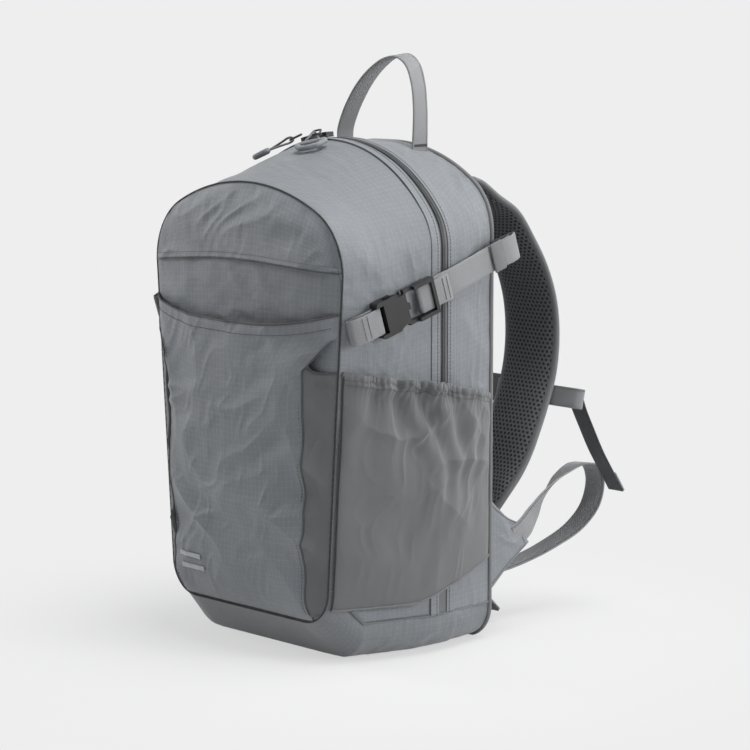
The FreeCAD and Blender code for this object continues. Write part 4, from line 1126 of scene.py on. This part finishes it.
# %% [markdown]
# ## Zipper pulls
# Each slider carries a small wire loop, a doubled cord and a grey rubber grip shaped like a flat ring. The
# pull turns about the slider's lug, so its own directions come from that joint's place and axis. The cord
# is a smooth curve with a round bevel, the usual way to make a cord that has to stay a cord.

# %% Zipper pulls
JOINTS = {joint["name"]: joint for joint in frame["joints"]}


def spline_length(points):
    """Length of a quadratic B-spline: its pieces are parabolas that run between the middles of its sides."""
    p = np.asarray(points, float)
    mid = np.concatenate([p[:1], (p[1:-2] + p[2:-1]) / 2, p[-1:]])
    w = np.linspace(0, 1, 40)[None, :, None]
    parts = (1 - w) ** 2 * mid[:-1, None] + 2 * w * (1 - w) * p[1:-1, None] + w * w * mid[1:, None]
    return float(np.linalg.norm(np.diff(parts, axis=1), axis=-1).sum())


for label in ("left", "right"):
    joint = JOINTS[f"zip_pull_lift_{label}"]
    pivot, axis = np.array(joint["pos_m"]) / MM, unit(np.array(joint["axis"], float))
    low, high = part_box(f"zip_cord_{label}")
    toward = (np.array(low) + np.array(high)) / 2 / MM - pivot
    u = unit(toward - axis * toward.dot(axis))
    out = np.cross(axis, u)
    drop = math.radians(0.6)
    u, out = u * math.cos(drop) - out * math.sin(drop), out * math.cos(drop) + u * math.sin(drop)

    def at_pull(points):
        """(along, across, out) of a zipper pull to the bag's frame."""
        p = np.asarray(points, float)
        return pivot + p[:, :1] * u - p[:, 1:2] * axis + p[:, 2:] * out

    ring = rounded_ring(2.6, 10.6, 2.0, 2.0, 6)
    finish(sweep(f"pull_wire_{label}", at_pull(ring), circle(0.95, 8), out, closed=True), SLIDER,
           f"zip_pull_{label}", [f"zip_pull_{label}"])
    shape = [(37.6, -13.4), (40.4, -13.0), (46.4, -9.8), (48.6, -7.2), (49.4, 0.0), (48.6, 7.2), (46.4, 9.8),
             (40.4, 13.0), (37.6, 13.4), (36.4, 11.4), (36.9, 0.0), (36.4, -11.4)]
    dense = np.concatenate([np.linspace(p, q, 5)[:-1] for p, q in zip(shape, shape[1:] + shape[:1])])
    dense = (np.roll(dense, 1, 0) + dense * 2 + np.roll(dense, -1, 0)) / 4
    grip_line = at_pull(np.concatenate([dense, np.zeros((len(dense), 1))], 1))
    finish(sweep(f"pull_grip_{label}", grip_line, slab(5.6, 5.2, 2.1, 4), out, closed=True), RUBBER,
           f"zip_pull_{label}", ())
    route = [(37.0, -8.4, 0.0), (31.0, -7.6, 0.5), (24.0, -5.0, 1.3), (18.0, -3.0, 2.0), (14.0, -1.9, 2.8),
             (9.6, -0.9, 1.7), (9.4, 0.9, -1.7), (14.0, 1.9, -2.6), (18.0, 3.0, -1.9), (24.0, 5.0, -1.2),
             (31.0, 7.6, -0.4), (37.0, 8.4, 0.0)]
    route = at_pull(route) * MM
    data = bpy.data.curves.new(f"pull_cord_{label}", "CURVE")
    data.dimensions = "3D"
    data.bevel_depth, data.bevel_resolution, data.use_fill_caps = 0.0011, 4, True
    spline = data.splines.new("NURBS")
    spline.points.add(len(route) - 1)
    weighted = np.concatenate([route, np.ones((len(route), 1))], 1)
    spline.points.foreach_set("co", weighted.astype(np.float32).ravel())
    spline.order_u, spline.resolution_u = 3, 8
    spline.use_endpoint_u = True
    cord = bpy.data.objects.new(f"pull_cord_{label}", data)
    bpy.context.scene.collection.objects.link(cord)
    finish(cord, CORD_BRAID, f"zip_pull_{label}", [f"zip_cord_{label}"])
print("pull cords", round(spline_length(route) / MM, 1), "mm long")

# %% [markdown]
# ## Light
# Soft light from a large panel above, one at each side and one behind shows the cloth's creases without
# hard shadows. The background is pale to the camera and to shiny plastic, and gives much less light than it
# shows.

# %% Light, floor and backdrop


def lamp(name, place, size, power, aim=(0.0, 0.0, 0.24)):
    """A round area light at a place, in metres, turned towards the aim."""
    light = bpy.data.lights.new(name, "AREA")
    light.shape, light.size, light.energy = "DISK", size, power
    one = bpy.data.objects.new(name, light)
    bpy.context.scene.collection.objects.link(one)
    one.location = place
    one.rotation_euler = (Vector(aim) - Vector(place)).to_track_quat("-Z", "Y").to_euler()
    return one


lamps = [lamp("top panel", (0.5, 0.1, 1.9), 1.1, 25.0), lamp("right panel", (1.9, 0.75, 0.85), 0.9, 22.0),
         lamp("left panel", (-2.0, -0.8, 1.1), 0.8, 18.0), lamp("rear panel", (0.3, 1.9, 0.9), 1.1, 9.0)]
BACKDROP = (0.855, 0.855, 0.855, 1)
world = bpy.data.worlds.new("pale surroundings")
bpy.context.scene.world = world
world.use_nodes = True
tree = world.node_tree
plain = tree.nodes["Background"]
shown, ray, join = (tree.nodes.new(kind) for kind in ("ShaderNodeBackground", "ShaderNodeLightPath",
                                                      "ShaderNodeMixShader"))
share = ray.outputs["Is Camera Ray"]
for kind in ("Is Glossy Ray", "Is Transmission Ray"):
    either = tree.nodes.new("ShaderNodeMath")
    either.operation = "MAXIMUM"
    tree.links.new(share, either.inputs[0])
    tree.links.new(ray.outputs[kind], either.inputs[1])
    share = either.outputs[0]
for source, target in ((share, join.inputs[0]), (plain.outputs[0], join.inputs[1]),
                       (shown.outputs[0], join.inputs[2]),
                       (join.outputs[0], tree.nodes["World Output"].inputs["Surface"])):
    tree.links.new(source, target)
plain.inputs["Color"].default_value = (0.95, 0.97, 1.0, 1)
plain.inputs["Strength"].default_value = 0.27
shown.inputs["Color"].default_value = BACKDROP

g = Graph("pale floor")
place = g.add("ShaderNodeTexCoord", output=3)
far = g.add("ShaderNodeVectorMath", {"operation": "LENGTH"}, [place], output=1)
ray = g.tree.nodes.new("ShaderNodeLightPath")
glow = g.tree.nodes.new("ShaderNodeEmission")
glow.inputs["Color"].default_value = BACKDROP
g.put(g.shader.inputs["Base Color"], (0.78, 0.78, 0.78))
g.put(g.shader.inputs["Roughness"], 0.9)
join = g.tree.nodes.new("ShaderNodeMixShader")
seen = (Socket(g, ray.outputs["Is Camera Ray"]) + Socket(g, ray.outputs["Is Glossy Ray"])).clamp()
share = ((far - 0.16) * 3.2).clamp() * seen * 0.35 + seen * 0.65
g.put(join.inputs[0], share)
g.tree.links.new(g.shader.outputs[0], join.inputs[1])
g.tree.links.new(glow.outputs[0], join.inputs[2])
g.tree.links.new(join.outputs[0], g.tree.nodes["Material Output"].inputs["Surface"])
corners = np.array([[-30e3, -30e3, 0], [30e3, -30e3, 0], [30e3, 30e3, 0], [-30e3, 30e3, 0]], float)
floor = to_mesh("floor", corners, np.array([[0, 1, 2, 3]]), smooth=False)
floor.data.materials.append(g.material)
bpy.context.scene.view_settings.view_transform = "Standard"
print("lamps", [one.name for one in lamps])

# %% Final scene update
bpy.context.view_layer.update()
